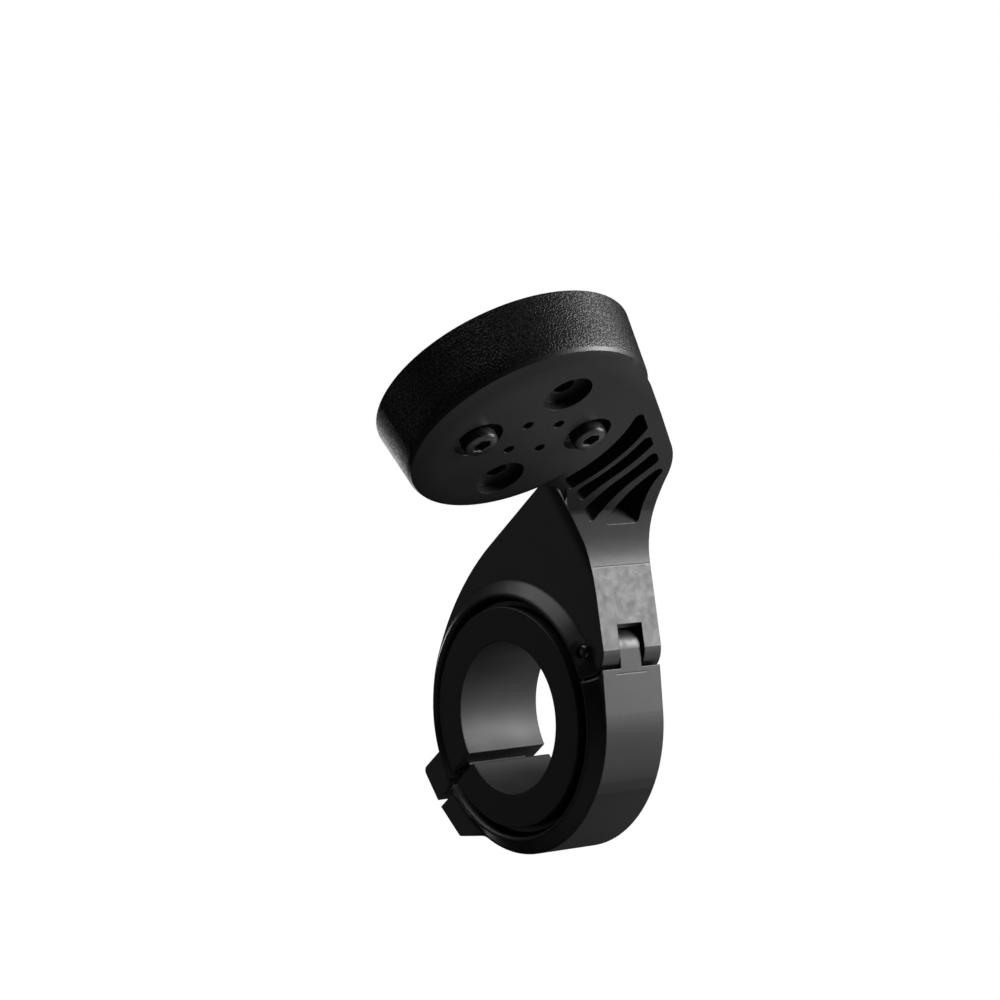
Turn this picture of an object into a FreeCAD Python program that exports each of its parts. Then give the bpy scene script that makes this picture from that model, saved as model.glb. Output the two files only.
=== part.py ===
import FreeCAD, Part
import os
import re

import Sketcher
from FreeCAD import Rotation, Vector

# Out-front computer mount. The origin is the centre of the bar opening on the clamp's mid-plane,
# +X runs along the bar, +Y points forward to the holder and +Z up along the holder's axis.
# Sizes are in millimetres and degrees.

SIZES = [
    ("bar_diameter", 25.4, "bar that the shim fits"),
    ("shim_thickness", 3.2, "wall of the shim"),
    ("shim_fit_gap", 0.15, "radial gap between shim and clamp halves"),
    ("shim_slit_width", 2.0, "slit that lets the shim spread over the bar"),
    ("flange_height", 2.5, "how far the flanges stand out of the shim"),
    ("flange_thickness", 2.0, "flange thickness"),
    ("flange_side_gap", 0.1, "gap between flange and clamp side"),
    ("clamp_width", 12.3, "width of clamp, gusset and knuckles along the bar"),
    ("clamp_wall", 6.95, "wall of the clamp ring"),
    ("lug_split_gap", 1.3, "gap between the two lugs at the rear"),
    ("collar_height", 1.85, "how far a collar stands out of the clamp's side"),
    ("collar_flange_gap", 0.9, "gap between flange and collar"),
    ("collar_flank_width", 1.1, "inner foot of the collar to the middle of its crest"),
    ("collar_crest_width", 0.4, "flat on the crest"),
    ("collar_foot_inset", 0.2, "outer foot of the collar inside the clamp's edge"),
    ("hinge_inset", 1.04, "hinge pin's axis inside the clamp's edge"),
    ("hinge_drop", 1.72, "hinge pin below the bar's axis"),
    ("knuckle_radius", 4.25, "outer radius of the two knuckles"),
    ("knuckle_gap", 0.5, "running gap round knuckles and tongue"),
    ("knuckle_face_radius", 2.5, "flat round the end of the pin"),
    ("front_split_drop", 4.05, "lower edge of the upper half behind the knuckles"),
    ("front_split_gap", 0.3, "gap between the halves behind the knuckles"),
    ("tongue_radius", 3.65, "outer radius of the tongue"),
    ("tongue_width", 4.4, "width of the tongue"),
    ("tongue_side_gap", 0.4, "gap at each side of the tongue"),
    ("notch_head_height", 1.3, "top of the notch's mouth above the pin"),
    ("hinge_pin_diameter", 2.2, "hinge pin"),
    ("pin_running_gap", 0.05, "radial gap in the tongue"),
    ("pin_seat_gap", 0.01, "radial gap in the knuckles"),
    ("pin_end_recess", 0.2, "pin end below the clamp's side"),
    ("strip_angle", 62.3, "slope of the front strip above the hinge"),
    ("strip_bend_radius", 15.0, "bend between strip and underside"),
    ("arm_under_height", 16.0, "underside of arm and holder"),
    ("arm_thickness", 10.3, "thickness of the arm"),
    ("gusset_blend_angle", 120.0, "where the gusset's crown leaves the clamp ring"),
    ("arm_angle", 47.2, "direction of the arm in plan, from the bar"),
    ("arm_width", 19.2, "width of the arm"),
    ("arm_far_inset", 0.3, "far side of the arm inside the holder's edge"),
    ("arm_end_lead", 3.0, "end of the arm's far side before the holder's centre line"),
    ("far_slope_angle", 15.0, "turn of the underside's slope at the far side, from the arm"),
    ("near_slope_angle", 13.4, "turn of the underside's slope at the near side, from the arm"),
    ("near_slope_start", 26.0, "start of that slope at the near side, from the holder's axis"),
    ("slope_overlap", 0.05, "how far the arm's slopes lie inside the holder's own slope"),
    ("arm_far_bend_radius", 22.0, "outer bend between neck and arm"),
    ("arm_near_bend_radius", 7.0, "inner bend between neck and arm"),
    ("arm_joint_radius", 2.5, "corner between arm and holder"),
    ("arm_joint_inset", 0.1, "end of that corner inside the holder's edge"),
    ("holder_x", 30.7, "holder axis beside the clamp's mid-plane"),
    ("holder_y", 58.16, "holder axis in front of the bar"),
    ("holder_base_radius", 20.1, "holder radius at its lower edge"),
    ("holder_flare", 1.2, "how much wider the holder is at its rim"),
    ("holder_height", 11.6, "underside to rim"),
    ("holder_edge_height", 1.7, "rise of the underside to the holder's edge"),
    ("holder_edge_slope", 4.0, "width of that rise"),
    ("holder_edge_bevel", 0.35, "bevel of the lower edge"),
    ("recess_radius", 16.9, "recess for the insert"),
    ("recess_depth", 8.0, "recess below the rim"),
    ("insert_fit_gap", 0.1, "radial gap round the insert"),
    ("insert_rim_drop", 0.2, "insert below the rim"),
    ("socket_depth", 4.2, "depth of the quarter-turn socket"),
    ("socket_lip_radius", 13.0, "opening between the lips"),
    ("socket_lip_thickness", 1.9, "thickness of the lips"),
    ("socket_tab_radius", 15.4, "room for the tabs under the lips"),
    ("socket_entry_angle", 25.0, "half-angle of each entry for a tab"),
    ("screw_circle_radius", 10.7, "counterbores from the holder's axis"),
    ("counterbore_diameter", 8.0, "counterbore"),
    ("counterbore_depth", 1.7, "counterbore"),
    ("screw_hole_diameter", 3.4, "hole for a holder screw"),
    ("screw_core_diameter", 2.39, "core of a holder screw"),
    ("screw_length", 4.8, "holder screw under its head"),
    ("screw_head_diameter", 5.5, "head of a holder screw"),
    ("screw_head_height", 3.0, "head of a holder screw"),
    ("screw_hex_width", 2.5, "hexagon of a holder screw"),
    ("screw_hex_depth", 1.4, "hexagon of a holder screw"),
    ("brass_insert_diameter", 4.4, "threaded insert outside"),
    ("brass_insert_bore", 3.0, "threaded insert at the root of its thread"),
    ("brass_insert_length", 3.0, "threaded insert"),
    ("brass_insert_fit_gap", 0.02, "radial gap round a threaded insert"),
    ("dowel_hole_spacing", 6.08, "square of small blind holes"),
    ("dowel_hole_diameter", 1.8, "small blind hole"),
    ("dowel_hole_depth", 1.6, "small blind hole"),
    ("core_depth", 8.0, "cored slots above the underside"),
    ("core_lead", 9.0, "start of the cores below the underside"),
    ("core_far_wall", 2.7, "wall between the cores and the arm's far side"),
    ("core_near_wall", 2.3, "wall between the cores and the arm's near side"),
    ("first_core_lead", 0.9, "how far the first slot reaches past the others at the near side"),
    ("core_corner_radius", 0.8, "corners of the cores"),
    ("first_core_inset", 1.8, "near side of the first slot inside the holder's lower edge"),
    ("first_core_width", 4.3, "first slot"),
    ("second_core_offset", 3.8, "near side of the second slot outside that edge"),
    ("second_core_width", 3.2, "second slot"),
    ("third_core_offset", 8.8, "near side of the third slot outside that edge"),
    ("third_core_width", 3.3, "third slot"),
    ("pocket_offset", 14.0, "curved side of the three-sided pocket outside that edge"),
    ("pocket_side_wall", 2.75, "wall between pocket and neck side"),
    ("pocket_front_offset", 0.24, "straight wall of the pocket in front of the strip's upper corner"),
    ("lug_rear_wall", 5.5, "bolt's axis to the rear of the lugs"),
    ("lug_rear_taper", 1.3, "how far the lower lug's rear leans in"),
    ("lower_lug_height", 7.4, "rear corner of the lower lug below the bar's axis"),
    ("lower_lug_slope", 31.0, "slope of the lower lug's underside"),
    ("lug_corner_radius", 1.0, "outer corners of the lugs"),
    ("lug_root_radius", 3.0, "root of the lower lug"),
    ("bolt_inset", 1.0, "clamp bolt's axis inside the clamp's edge"),
    ("bolt_seat_height", 7.0, "seat of the bolt's head above the bar's axis"),
    ("bolt_length", 15.4, "clamp bolt under its head"),
    ("bolt_diameter", 4.0, "plain part of the clamp bolt"),
    ("bolt_plain_length", 6.2, "plain part of the clamp bolt"),
    ("bolt_core_diameter", 3.24, "core of the bolt's thread"),
    ("bolt_head_diameter", 7.0, "head of the clamp bolt"),
    ("bolt_head_height", 4.0, "head of the clamp bolt"),
    ("bolt_hex_width", 3.0, "hexagon of the clamp bolt"),
    ("bolt_hex_depth", 2.0, "hexagon of the clamp bolt"),
    ("bolt_hole_gap", 0.15, "radial gap round the bolt in the upper lug"),
    ("bolt_swing_gap", 0.63, "radial gap round the bolt's core in the lower lug"),
    ("bolt_head_gap", 0.4, "radial gap round the bolt's head"),
    ("nut_width", 7.0, "clamp nut across its flats"),
    ("nut_height", 3.2, "clamp nut"),
    ("nut_bore", 4.1, "clamp nut at the root of its thread"),
    ("nut_fit_gap", 0.05, "gap at each flat of the nut"),
    ("nut_seat_drop", 5.1, "upper face of the nut below the bar's axis"),
    ("head_chamfer", 0.35, "chamfer of the screw heads"),
]

# Sizes that follow from the ones above
FOLLOWING = [
    ("bare_clamp_diameter", "bar_diameter + 2 * shim_thickness", "bar that the clamp fits without the shim"),
    ("flange_radius", "bare_clamp_diameter / 2 + flange_height", "outer radius of the flanges"),
    ("clamp_radius", "bare_clamp_diameter / 2 + shim_fit_gap + clamp_wall", "outer radius of the ring"),
    ("collar_inner_radius", "flange_radius + collar_flange_gap", "inner foot of the collar"),
    ("collar_crest_radius", "collar_inner_radius + collar_flank_width", "middle of the collar's crest"),
    ("collar_foot_radius", "clamp_radius - collar_foot_inset", "outer foot of the collar"),
    ("hinge_reach", "clamp_radius - hinge_inset", "hinge pin in front of the bar's axis"),
    ("bolt_reach", "clamp_radius - bolt_inset", "clamp bolt behind the bar's axis"),
    ("lug_reach", "bolt_reach + lug_rear_wall", "rear of the lugs behind the bar's axis"),
    ("holder_rim_radius", "holder_base_radius + holder_flare", "holder radius at the rim"),
    ("first_core_radius", "holder_base_radius - first_core_inset", "near side of the first slot"),
    ("second_core_radius", "holder_base_radius + second_core_offset", "near side of the second slot"),
    ("third_core_radius", "holder_base_radius + third_core_offset", "near side of the third slot"),
    ("pocket_radius", "holder_base_radius + pocket_offset", "curved side of the pocket"),
]

document = FreeCAD.newDocument("bike_computer_mount")
sheet = document.addObject("Spreadsheet::Sheet", "sizes")
FORMULAS = [(alias, f"={formula}", note) for alias, formula, note in FOLLOWING]
for row, (alias, size, note) in enumerate(SIZES + FORMULAS, start=1):
    sheet.set(f"A{row}", note)
    sheet.set(f"B{row}", str(size))
    sheet.setAlias(f"B{row}", alias)
document.recompute()


def bound(text):
    """Return the expression with each size's name led by the sheet's name."""
    return re.sub(r"\b([a-z]+_[a-z_]+)\b", r"sizes.\1", text)


def value(text):
    """Return the number that an expression of sizes has now."""
    return float(sheet.evalExpression(bound(text)))


def bind(item, path, text):
    """Bind one property of an object to an expression of sizes."""
    item.setExpression(path, bound(text))


# Derived places, each an expression of the sizes above

HALF_WIDTH = "clamp_width / 2"
HALF_SPLIT = "lug_split_gap / 2"
CLAMP_BORE = "(bare_clamp_diameter / 2 + shim_fit_gap)"
ARM_TOP = "(arm_under_height + arm_thickness)"
RIM_HEIGHT = "(arm_under_height + holder_height)"
RECESS_FLOOR = f"({RIM_HEIGHT} - recess_depth)"
SCREW_SEAT = "(arm_under_height + counterbore_depth)"

# Crown of the gusset: an arc that touches the clamp ring and the arm's top
CROWN_RADIUS = (f"(({ARM_TOP} - clamp_radius * sin(gusset_blend_angle))"
                f" / (1 - sin(gusset_blend_angle)))")
CROWN_Y = f"((clamp_radius - {CROWN_RADIUS}) * cos(gusset_blend_angle))"

# Front strip: a line that touches the knuckles, and its bend into the underside
STRIP_FOOT_Y = "(hinge_reach + knuckle_radius * sin(strip_angle))"
STRIP_FOOT_Z = "(-hinge_drop - knuckle_radius * cos(strip_angle))"
STRIP_CORNER_Y = f"({STRIP_FOOT_Y} + (arm_under_height - {STRIP_FOOT_Z}) / tan(strip_angle))"
BEND_TANGENT = "(strip_bend_radius * tan(strip_angle / 2))"
BEND_LOW_Y = f"({STRIP_CORNER_Y} - {BEND_TANGENT} * cos(strip_angle))"
BEND_LOW_Z = f"(arm_under_height - {BEND_TANGENT} * sin(strip_angle))"
BEND_HIGH_Y = f"({STRIP_CORNER_Y} + {BEND_TANGENT})"
POCKET_FRONT = f"({STRIP_CORNER_Y} + pocket_front_offset)"

# Shoulder of the lower half: the line that touches the clamp ring and the tongue
PIN_RANGE = "sqrt(hinge_reach * hinge_reach + hinge_drop * hinge_drop)"
SHOULDER_ANGLE = (f"(atan(hinge_drop / hinge_reach)"
                  f" + acos((clamp_radius - tongue_radius) / {PIN_RANGE}))")

# Plan of the arm: "across" is measured from the holder's axis to the far side
FAR_ACROSS = "(holder_base_radius - arm_far_inset)"
NEAR_ACROSS = f"({FAR_ACROSS} - arm_width)"

# Lines where the underside's slopes begin, from the holder's axis
FAR_SLOPE_LINE = "(holder_base_radius - holder_edge_slope - slope_overlap)"
NEAR_SLOPE_LINE = (f"(-near_slope_start * sin(near_slope_angle)"
                   f" - {NEAR_ACROSS} * cos(near_slope_angle))")


def plan_point(along, across):
    """Return the plan place of a point given along and across the arm from the holder's axis."""
    x = f"(holder_x - ({along}) * cos(arm_angle) - ({across}) * sin(arm_angle))"
    y = f"(holder_y - ({along}) * sin(arm_angle) + ({across}) * cos(arm_angle))"
    return x, y


def neck_corner(side, across):
    """Return the plan corner between a side of the neck and a line along the arm."""
    along = f"((holder_x - ({across}) * sin(arm_angle) - ({side})) / cos(arm_angle))"
    return plan_point(along, across)


# Sketches and features

# The arm's faces are merged only once, by its last feature
REFINED = {"lower_clamp", "bar_shim", "hinge_pin", "clamp_bolt", "clamp_nut", "quarter_turn_insert"}


def new_body(name):
    """Add an empty body whose label names its file."""
    body = document.addObject("PartDesign::Body", name)
    body.Label = name
    return body


def sketch_on(body, name, role, shift=("0", "0", "0"), turn=None, axis=(0, 0, 1)):
    """Add a sketch on an origin plane of its body, shifted and turned in that plane's own axes."""
    sketch = body.newObject("Sketcher::SketchObject", name)
    plane = next(item for item in body.Origin.OriginFeatures if item.Role == role)
    sketch.AttachmentSupport = [(plane, "")]
    sketch.MapMode = "FlatFace"
    if turn is not None:
        sketch.AttachmentOffset = FreeCAD.Placement(Vector(), Rotation(Vector(*axis), value(turn)))
        bind(sketch, "AttachmentOffset.Rotation.Angle", turn)
    for letter, text in zip("xyz", shift):
        if text != "0":
            bind(sketch, f"AttachmentOffset.Base.{letter}", text)
    return sketch


def pin_point(sketch, geometry, end, x, y):
    """Hold one point of a sketch at a place given by two expressions."""
    for kind, text in (("DistanceX", x), ("DistanceY", y)):
        index = sketch.addConstraint(Sketcher.Constraint(kind, -1, 1, geometry, end, value(text)))
        if text != "0":
            bind(sketch, f"Constraints[{index}]", text)


def arc_between(start, finish, radius, side):
    """Return the short arc from start to finish, its centre to the left (1) or right (-1)."""
    chord = finish - start
    rise = (max(radius ** 2 - (chord.Length / 2) ** 2, 0.0)) ** 0.5
    normal = Vector(-chord.y, chord.x, 0).normalize()
    centre = (start + finish) * 0.5 + normal * rise * side
    circle = Part.Circle(centre, Vector(0, 0, 1), radius)
    first, last = (start, finish) if side > 0 else (finish, start)
    return Part.ArcOfCircle(circle, circle.parameter(first), circle.parameter(last))


def outline(sketch, corners):
    """Draw a closed outline; a corner is (x, y), or (x, y, radius, side) where an arc leads to it."""
    points = [Vector(value(corner[0]), value(corner[1]), 0) for corner in corners]
    pieces = []
    for index, corner in enumerate(corners):
        start, finish = points[index - 1], points[index]
        if len(corner) == 2:
            pieces.append((sketch.addGeometry(Part.LineSegment(start, finish), False), 1, 2))
            continue
        radius, side = corner[2:]
        geometry = sketch.addGeometry(arc_between(start, finish, value(radius), side), False)
        pieces.append((geometry, 1, 2) if side > 0 else (geometry, 2, 1))
        constraint = sketch.addConstraint(Sketcher.Constraint("Radius", geometry, value(radius)))
        bind(sketch, f"Constraints[{constraint}]", radius)
    for index, (geometry, _, end) in enumerate(pieces):
        following, begin, _ = pieces[(index + 1) % len(pieces)]
        sketch.addConstraint(Sketcher.Constraint("Coincident", geometry, end, following, begin))
        pin_point(sketch, geometry, end, *corners[index][:2])


def circle(sketch, x, y, radius):
    """Draw a circle whose centre and radius are expressions."""
    shape = Part.Circle(Vector(value(x), value(y), 0), Vector(0, 0, 1), value(radius))
    geometry = sketch.addGeometry(shape, False)
    pin_point(sketch, geometry, 3, x, y)
    index = sketch.addConstraint(Sketcher.Constraint("Radius", geometry, value(radius)))
    bind(sketch, f"Constraints[{index}]", radius)


def hexagon(sketch, x, y, flats):
    """Draw a hexagon about a point, two of its flats square to the sketch's y axis."""
    corner = f"({flats}) / 2 / cos(30)"
    outline(sketch, [(f"{x} + {corner} * cos({60 * step})", f"{y} + {corner} * sin({60 * step})")
                     for step in range(6)])


def side_name(side):
    """Return the feature's setting for one side or both."""
    return "Symmetric" if side else "One side"


def pad(body, sketch, length, both=False, back=False):
    """Add a pad of a sketch."""
    feature = body.newObject("PartDesign::Pad", f"{sketch.Name}_pad")
    feature.Profile = (sketch, [""])
    feature.Refine = body.Label in REFINED
    feature.SideType = side_name(both)
    feature.Reversed = back
    bind(feature, "Length", length)
    document.recompute()
    return feature


def pocket(body, sketch, length=None, both=False, back=False):
    """Cut a sketch into the body, to a length or right through, and see that it cut."""
    before = body.Tip.Shape.Volume
    feature = body.newObject("PartDesign::Pocket", f"{sketch.Name}_pocket")
    feature.Profile = (sketch, [""])
    feature.Refine = body.Label in REFINED
    feature.SideType = side_name(both)
    feature.Reversed = back
    if length is None:
        feature.Type = "ThroughAll"
    else:
        bind(feature, "Length", length)
    document.recompute()
    if not feature.Shape.Volume < before:
        raise ValueError(f"{feature.Name} cuts nothing")
    return feature


def revolve(body, sketch, axis):
    """Turn a sketch fully about one of its own axes."""
    feature = body.newObject("PartDesign::Revolution", f"{sketch.Name}_turned")
    feature.Profile = (sketch, [""])
    feature.Refine = body.Label in REFINED
    feature.ReferenceAxis = (sketch, [axis])
    feature.Angle = 360
    document.recompute()
    return feature


def groove(body, sketch, axis):
    """Cut a sketch fully round one of its own axes, and see that it cut."""
    before = body.Tip.Shape.Volume
    feature = body.newObject("PartDesign::Groove", f"{sketch.Name}_turned")
    feature.Profile = (sketch, [""])
    feature.Refine = body.Label in REFINED
    feature.ReferenceAxis = (sketch, [axis])
    feature.Angle = 360
    document.recompute()
    if not feature.Shape.Volume < before:
        raise ValueError(f"{feature.Name} cuts nothing")
    return feature


def fillet(body, name, radius, chosen):
    """Round the edges of the body's last feature that a test picks."""
    base = body.Tip
    names = [f"Edge{number}" for number, edge in enumerate(base.Shape.Edges, start=1) if chosen(edge)]
    feature = body.newObject("PartDesign::Fillet", name)
    feature.Base = (base, names)
    bind(feature, "Radius", radius)
    document.recompute()
    return feature


def middle(edge):
    """Return the point half-way along an edge."""
    return edge.valueAt((edge.FirstParameter + edge.LastParameter) / 2)


def is_upright(edge):
    """Tell whether an edge is a straight line along Z."""
    if edge.Curve.TypeId != "Part::GeomLine":
        return False
    return abs(edge.tangentAt(edge.FirstParameter).z) > 0.999


def is_across(edge):
    """Tell whether an edge is a straight line along X."""
    if edge.Curve.TypeId != "Part::GeomLine":
        return False
    return abs(edge.tangentAt(edge.FirstParameter).x) > 0.999


def near_plan(edge, corner):
    """Tell whether an edge's middle stands over a plan corner."""
    point = middle(edge)
    return abs(point.x - value(corner[0])) < 0.01 and abs(point.y - value(corner[1])) < 0.01


def near_profile(edge, y, z, reach=0.05):
    """Tell whether an edge's middle is at a place of the side view."""
    point = middle(edge)
    return abs(point.y - value(y)) < reach and abs(point.z - value(z)) < reach


# Features that both clamp halves have

def add_ring(body, prefix):
    """Pad the clamp ring and turn its two collars."""
    ring = sketch_on(body, f"{prefix}_ring", "YZ_Plane")
    circle(ring, "0", "0", "clamp_radius")
    pad(body, ring, "clamp_width", both=True)
    collars = sketch_on(body, f"{prefix}_collars", "XY_Plane")
    inside = "(clamp_width / 2 - collar_crest_width)"
    crest = "(clamp_width / 2 + collar_height)"
    for sign in ("", "-"):
        outline(collars, [
            (f"{sign}{inside}", "collar_inner_radius"),
            (f"{sign}{HALF_WIDTH}", "collar_inner_radius"),
            (f"{sign}{crest}", "collar_crest_radius - collar_crest_width / 2"),
            (f"{sign}{crest}", "collar_crest_radius + collar_crest_width / 2"),
            (f"{sign}{HALF_WIDTH}", "collar_foot_radius"),
            (f"{sign}{inside}", "collar_foot_radius"),
        ])
    revolve(body, collars, "H_Axis")


def cut_bore(body, prefix):
    """Cut the clamp's bore through a half."""
    bore = sketch_on(body, f"{prefix}_bore", "YZ_Plane")
    circle(bore, "0", "0", CLAMP_BORE)
    pocket(body, bore, both=True)


def cut_pin_hole(body, prefix, gap):
    """Drill the hole for the hinge pin."""
    hole = sketch_on(body, f"{prefix}_pin_hole", "YZ_Plane")
    circle(hole, "hinge_reach", "-hinge_drop", f"hinge_pin_diameter / 2 + {gap}")
    pocket(body, hole, both=True)


def flatten_round_pin(body, prefix, radius):
    """Face the collars off round the hinge, down to the clamp's sides."""
    for label, sign, back in (("right", "", True), ("left", "-", False)):
        side = ("0", "0", f"{sign}{HALF_WIDTH}")
        face = sketch_on(body, f"{prefix}_{label}_face", "YZ_Plane", shift=side)
        circle(face, "hinge_reach", "-hinge_drop", radius)
        pocket(body, face, back=back)


# Arm, holder housing and upper clamp half, one moulding

def build_mount_arm():
    """Model the one-piece arm."""
    body = new_body("mount_arm")
    far_corner = neck_corner(f"-{HALF_WIDTH}", FAR_ACROSS)
    near_corner = neck_corner(HALF_WIDTH, NEAR_ACROSS)
    plan = sketch_on(body, "arm_plan", "XY_Plane", shift=("0", "0", "-knuckle_radius"))
    joint_across = f"({NEAR_ACROSS} - arm_joint_radius)"
    joint_reach = "(holder_base_radius - arm_joint_inset + arm_joint_radius)"
    joint_along = f"sqrt({joint_reach} ^ 2 - {joint_across} ^ 2)"
    joint_share = f"(1 - arm_joint_radius / {joint_reach})"
    outline(plan, [
        (f"-{HALF_WIDTH}", CROWN_Y),
        (HALF_WIDTH, CROWN_Y),
        near_corner,
        plan_point(joint_along, NEAR_ACROSS),
        (*plan_point(f"{joint_along} * {joint_share}", f"{joint_across} * {joint_share}"),
         "arm_joint_radius", -1),
        plan_point("0", "0"),
        plan_point(f"-{FAR_ACROSS} * sin(far_slope_angle)", f"{FAR_ACROSS} * cos(far_slope_angle)"),
        plan_point("arm_end_lead", FAR_ACROSS),
        far_corner,
    ])
    pad(body, plan, f"knuckle_radius + {ARM_TOP}")
    fillet(body, "far_bend", "arm_far_bend_radius",
           lambda edge: is_upright(edge) and near_plan(edge, far_corner))
    fillet(body, "near_bend", "arm_near_bend_radius",
           lambda edge: is_upright(edge) and near_plan(edge, near_corner))

    below = "(-knuckle_radius - hinge_drop - 1)"
    ahead = "(holder_y + 2 * holder_rim_radius)"
    strip_run = f"({STRIP_FOOT_Z} - {below}) / tan(strip_angle)"
    under = sketch_on(body, "underside", "YZ_Plane")
    outline(under, [
        (f"{STRIP_FOOT_Y} - {strip_run}", below),
        (BEND_LOW_Y, BEND_LOW_Z),
        (BEND_HIGH_Y, "arm_under_height", "strip_bend_radius", -1),
        (ahead, "arm_under_height"),
        (ahead, below),
    ])
    pocket(body, under, both=True)

    slope_underside(body, "far_slope", FAR_SLOPE_LINE, "90 + arm_angle - far_slope_angle")
    slope_underside(body, "near_slope", NEAR_SLOPE_LINE, "arm_angle + near_slope_angle - 90",
                    "near_slope_start + 1")

    gusset = sketch_on(body, "gusset", "YZ_Plane")
    outline(gusset, [
        ("clamp_radius * cos(gusset_blend_angle)", "clamp_radius * sin(gusset_blend_angle)"),
        (CROWN_Y, ARM_TOP, CROWN_RADIUS, -1),
        (STRIP_FOOT_Y, ARM_TOP),
        (STRIP_FOOT_Y, STRIP_FOOT_Z),
        ("hinge_reach", "-front_split_drop"),
        ("0", "-front_split_drop"),
    ])
    pad(body, gusset, "clamp_width", both=True)
    add_ring(body, "upper")

    far_out = "(2 * clamp_radius)"
    lower_space = sketch_on(body, "lower_space", "YZ_Plane")
    outline(lower_space, [
        (f"-{far_out}", HALF_SPLIT),
        ("0", HALF_SPLIT),
        ("0", "-front_split_drop"),
        (far_out, "-front_split_drop"),
        (far_out, f"-{far_out}"),
        (f"-{far_out}", f"-{far_out}"),
    ])
    pocket(body, lower_space, both=True)
    flatten_round_pin(body, "knuckle", "knuckle_face_radius")

    knuckles = sketch_on(body, "knuckles", "YZ_Plane")
    circle(knuckles, "hinge_reach", "-hinge_drop", "knuckle_radius")
    pad(body, knuckles, "clamp_width", both=True)

    lug = sketch_on(body, "upper_lug", "YZ_Plane")
    outline(lug, [
        ("-lug_reach", HALF_SPLIT),
        ("-lug_reach", "bolt_seat_height"),
        (f"-{CLAMP_BORE}", "bolt_seat_height"),
        (f"-{CLAMP_BORE}", HALF_SPLIT),
    ])
    pad(body, lug, "clamp_width", both=True)
    fillet(body, "upper_lug_corner", "lug_corner_radius",
           lambda edge: is_across(edge) and near_profile(edge, "-lug_reach", "bolt_seat_height"))
    cut_bore(body, "upper")

    notch_width = "tongue_width + 2 * tongue_side_gap"
    round_notch = sketch_on(body, "round_notch", "YZ_Plane")
    circle(round_notch, "hinge_reach", "-hinge_drop", "knuckle_radius + knuckle_gap / 2")
    pocket(body, round_notch, notch_width, both=True)
    mouth = sketch_on(body, "notch_mouth", "YZ_Plane")
    outline(mouth, [
        ("hinge_reach", "notch_head_height - hinge_drop"),
        ("hinge_reach", "-2 * knuckle_radius"),
        ("hinge_reach + 2 * knuckle_radius", "-2 * knuckle_radius"),
        ("hinge_reach + 2 * knuckle_radius", "notch_head_height - hinge_drop"),
    ])
    pocket(body, mouth, notch_width, both=True)
    cut_pin_hole(body, "knuckle", "pin_seat_gap")

    add_holder(body)
    cut_cores(body)

    bolt_hole = sketch_on(body, "upper_bolt_hole", "XY_Plane")
    circle(bolt_hole, "0", "-bolt_reach", "bolt_diameter / 2 + bolt_hole_gap")
    pocket(body, bolt_hole, both=True)
    seat = sketch_on(body, "bolt_seat", "XY_Plane", shift=("0", "0", "bolt_seat_height"))
    circle(seat, "0", "-bolt_reach", "bolt_head_diameter / 2 + bolt_head_gap")
    pocket(body, seat, back=True).Refine = True
    document.recompute()
    return body


def slope_underside(body, name, line, turn, length=None):
    """Slope the arm's underside up from a line, as the holder's own underside slopes at its edge."""
    rise = "(holder_edge_height - holder_edge_bevel) / (holder_edge_slope - holder_edge_bevel)"
    width = "2 * holder_edge_slope"
    profile = sketch_on(body, name, "XZ_Plane", shift=("holder_x", "0", "-holder_y"), turn=turn,
                        axis=(0, 1, 0))
    outline(profile, [
        (line, "arm_under_height"),
        (f"{line} + {width}", f"arm_under_height + {width} * {rise}"),
        (f"{line} + {width}", "arm_under_height - holder_edge_height"),
        (line, "arm_under_height - holder_edge_height"),
    ])
    pocket(body, profile, length, both=length is None, back=length is not None)


def add_holder(body):
    """Turn the round holder onto the arm, and cut its recess and holes."""
    profile = sketch_on(body, "holder_profile", "XZ_Plane", shift=("holder_x", "0", "-holder_y"))
    outline(profile, [
        ("0", "arm_under_height"),
        ("holder_base_radius - holder_edge_slope", "arm_under_height"),
        ("holder_base_radius - holder_edge_bevel",
         "arm_under_height + holder_edge_height - holder_edge_bevel"),
        ("holder_base_radius", "arm_under_height + holder_edge_height + holder_edge_bevel"),
        ("holder_rim_radius", RIM_HEIGHT),
        ("0", RIM_HEIGHT),
    ])
    revolve(body, profile, "V_Axis")

    recess = sketch_on(body, "recess", "XY_Plane", shift=("0", "0", RIM_HEIGHT))
    circle(recess, "holder_x", "holder_y", "recess_radius")
    pocket(body, recess, "recess_depth")

    underside = ("0", "0", "arm_under_height")
    bores = sketch_on(body, "counterbores", "XY_Plane", shift=underside)
    holes = sketch_on(body, "screw_holes", "XY_Plane", shift=underside)
    dowels = sketch_on(body, "dowel_holes", "XY_Plane", shift=underside)
    for x_sign, y_sign in ((1, 0), (0, 1), (-1, 0), (0, -1)):
        x = f"holder_x + {x_sign} * screw_circle_radius"
        y = f"holder_y + {y_sign} * screw_circle_radius"
        circle(bores, x, y, "counterbore_diameter / 2")
        circle(holes, x, y, "screw_hole_diameter / 2")
    for x_sign, y_sign in ((1, 1), (-1, 1), (-1, -1), (1, -1)):
        x = f"holder_x + {x_sign} * dowel_hole_spacing / 2"
        y = f"holder_y + {y_sign} * dowel_hole_spacing / 2"
        circle(dowels, x, y, "dowel_hole_diameter / 2")
    pocket(body, bores, "counterbore_depth", back=True)
    pocket(body, holes, "holder_height", back=True)
    pocket(body, dowels, "dowel_hole_depth", back=True)


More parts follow.
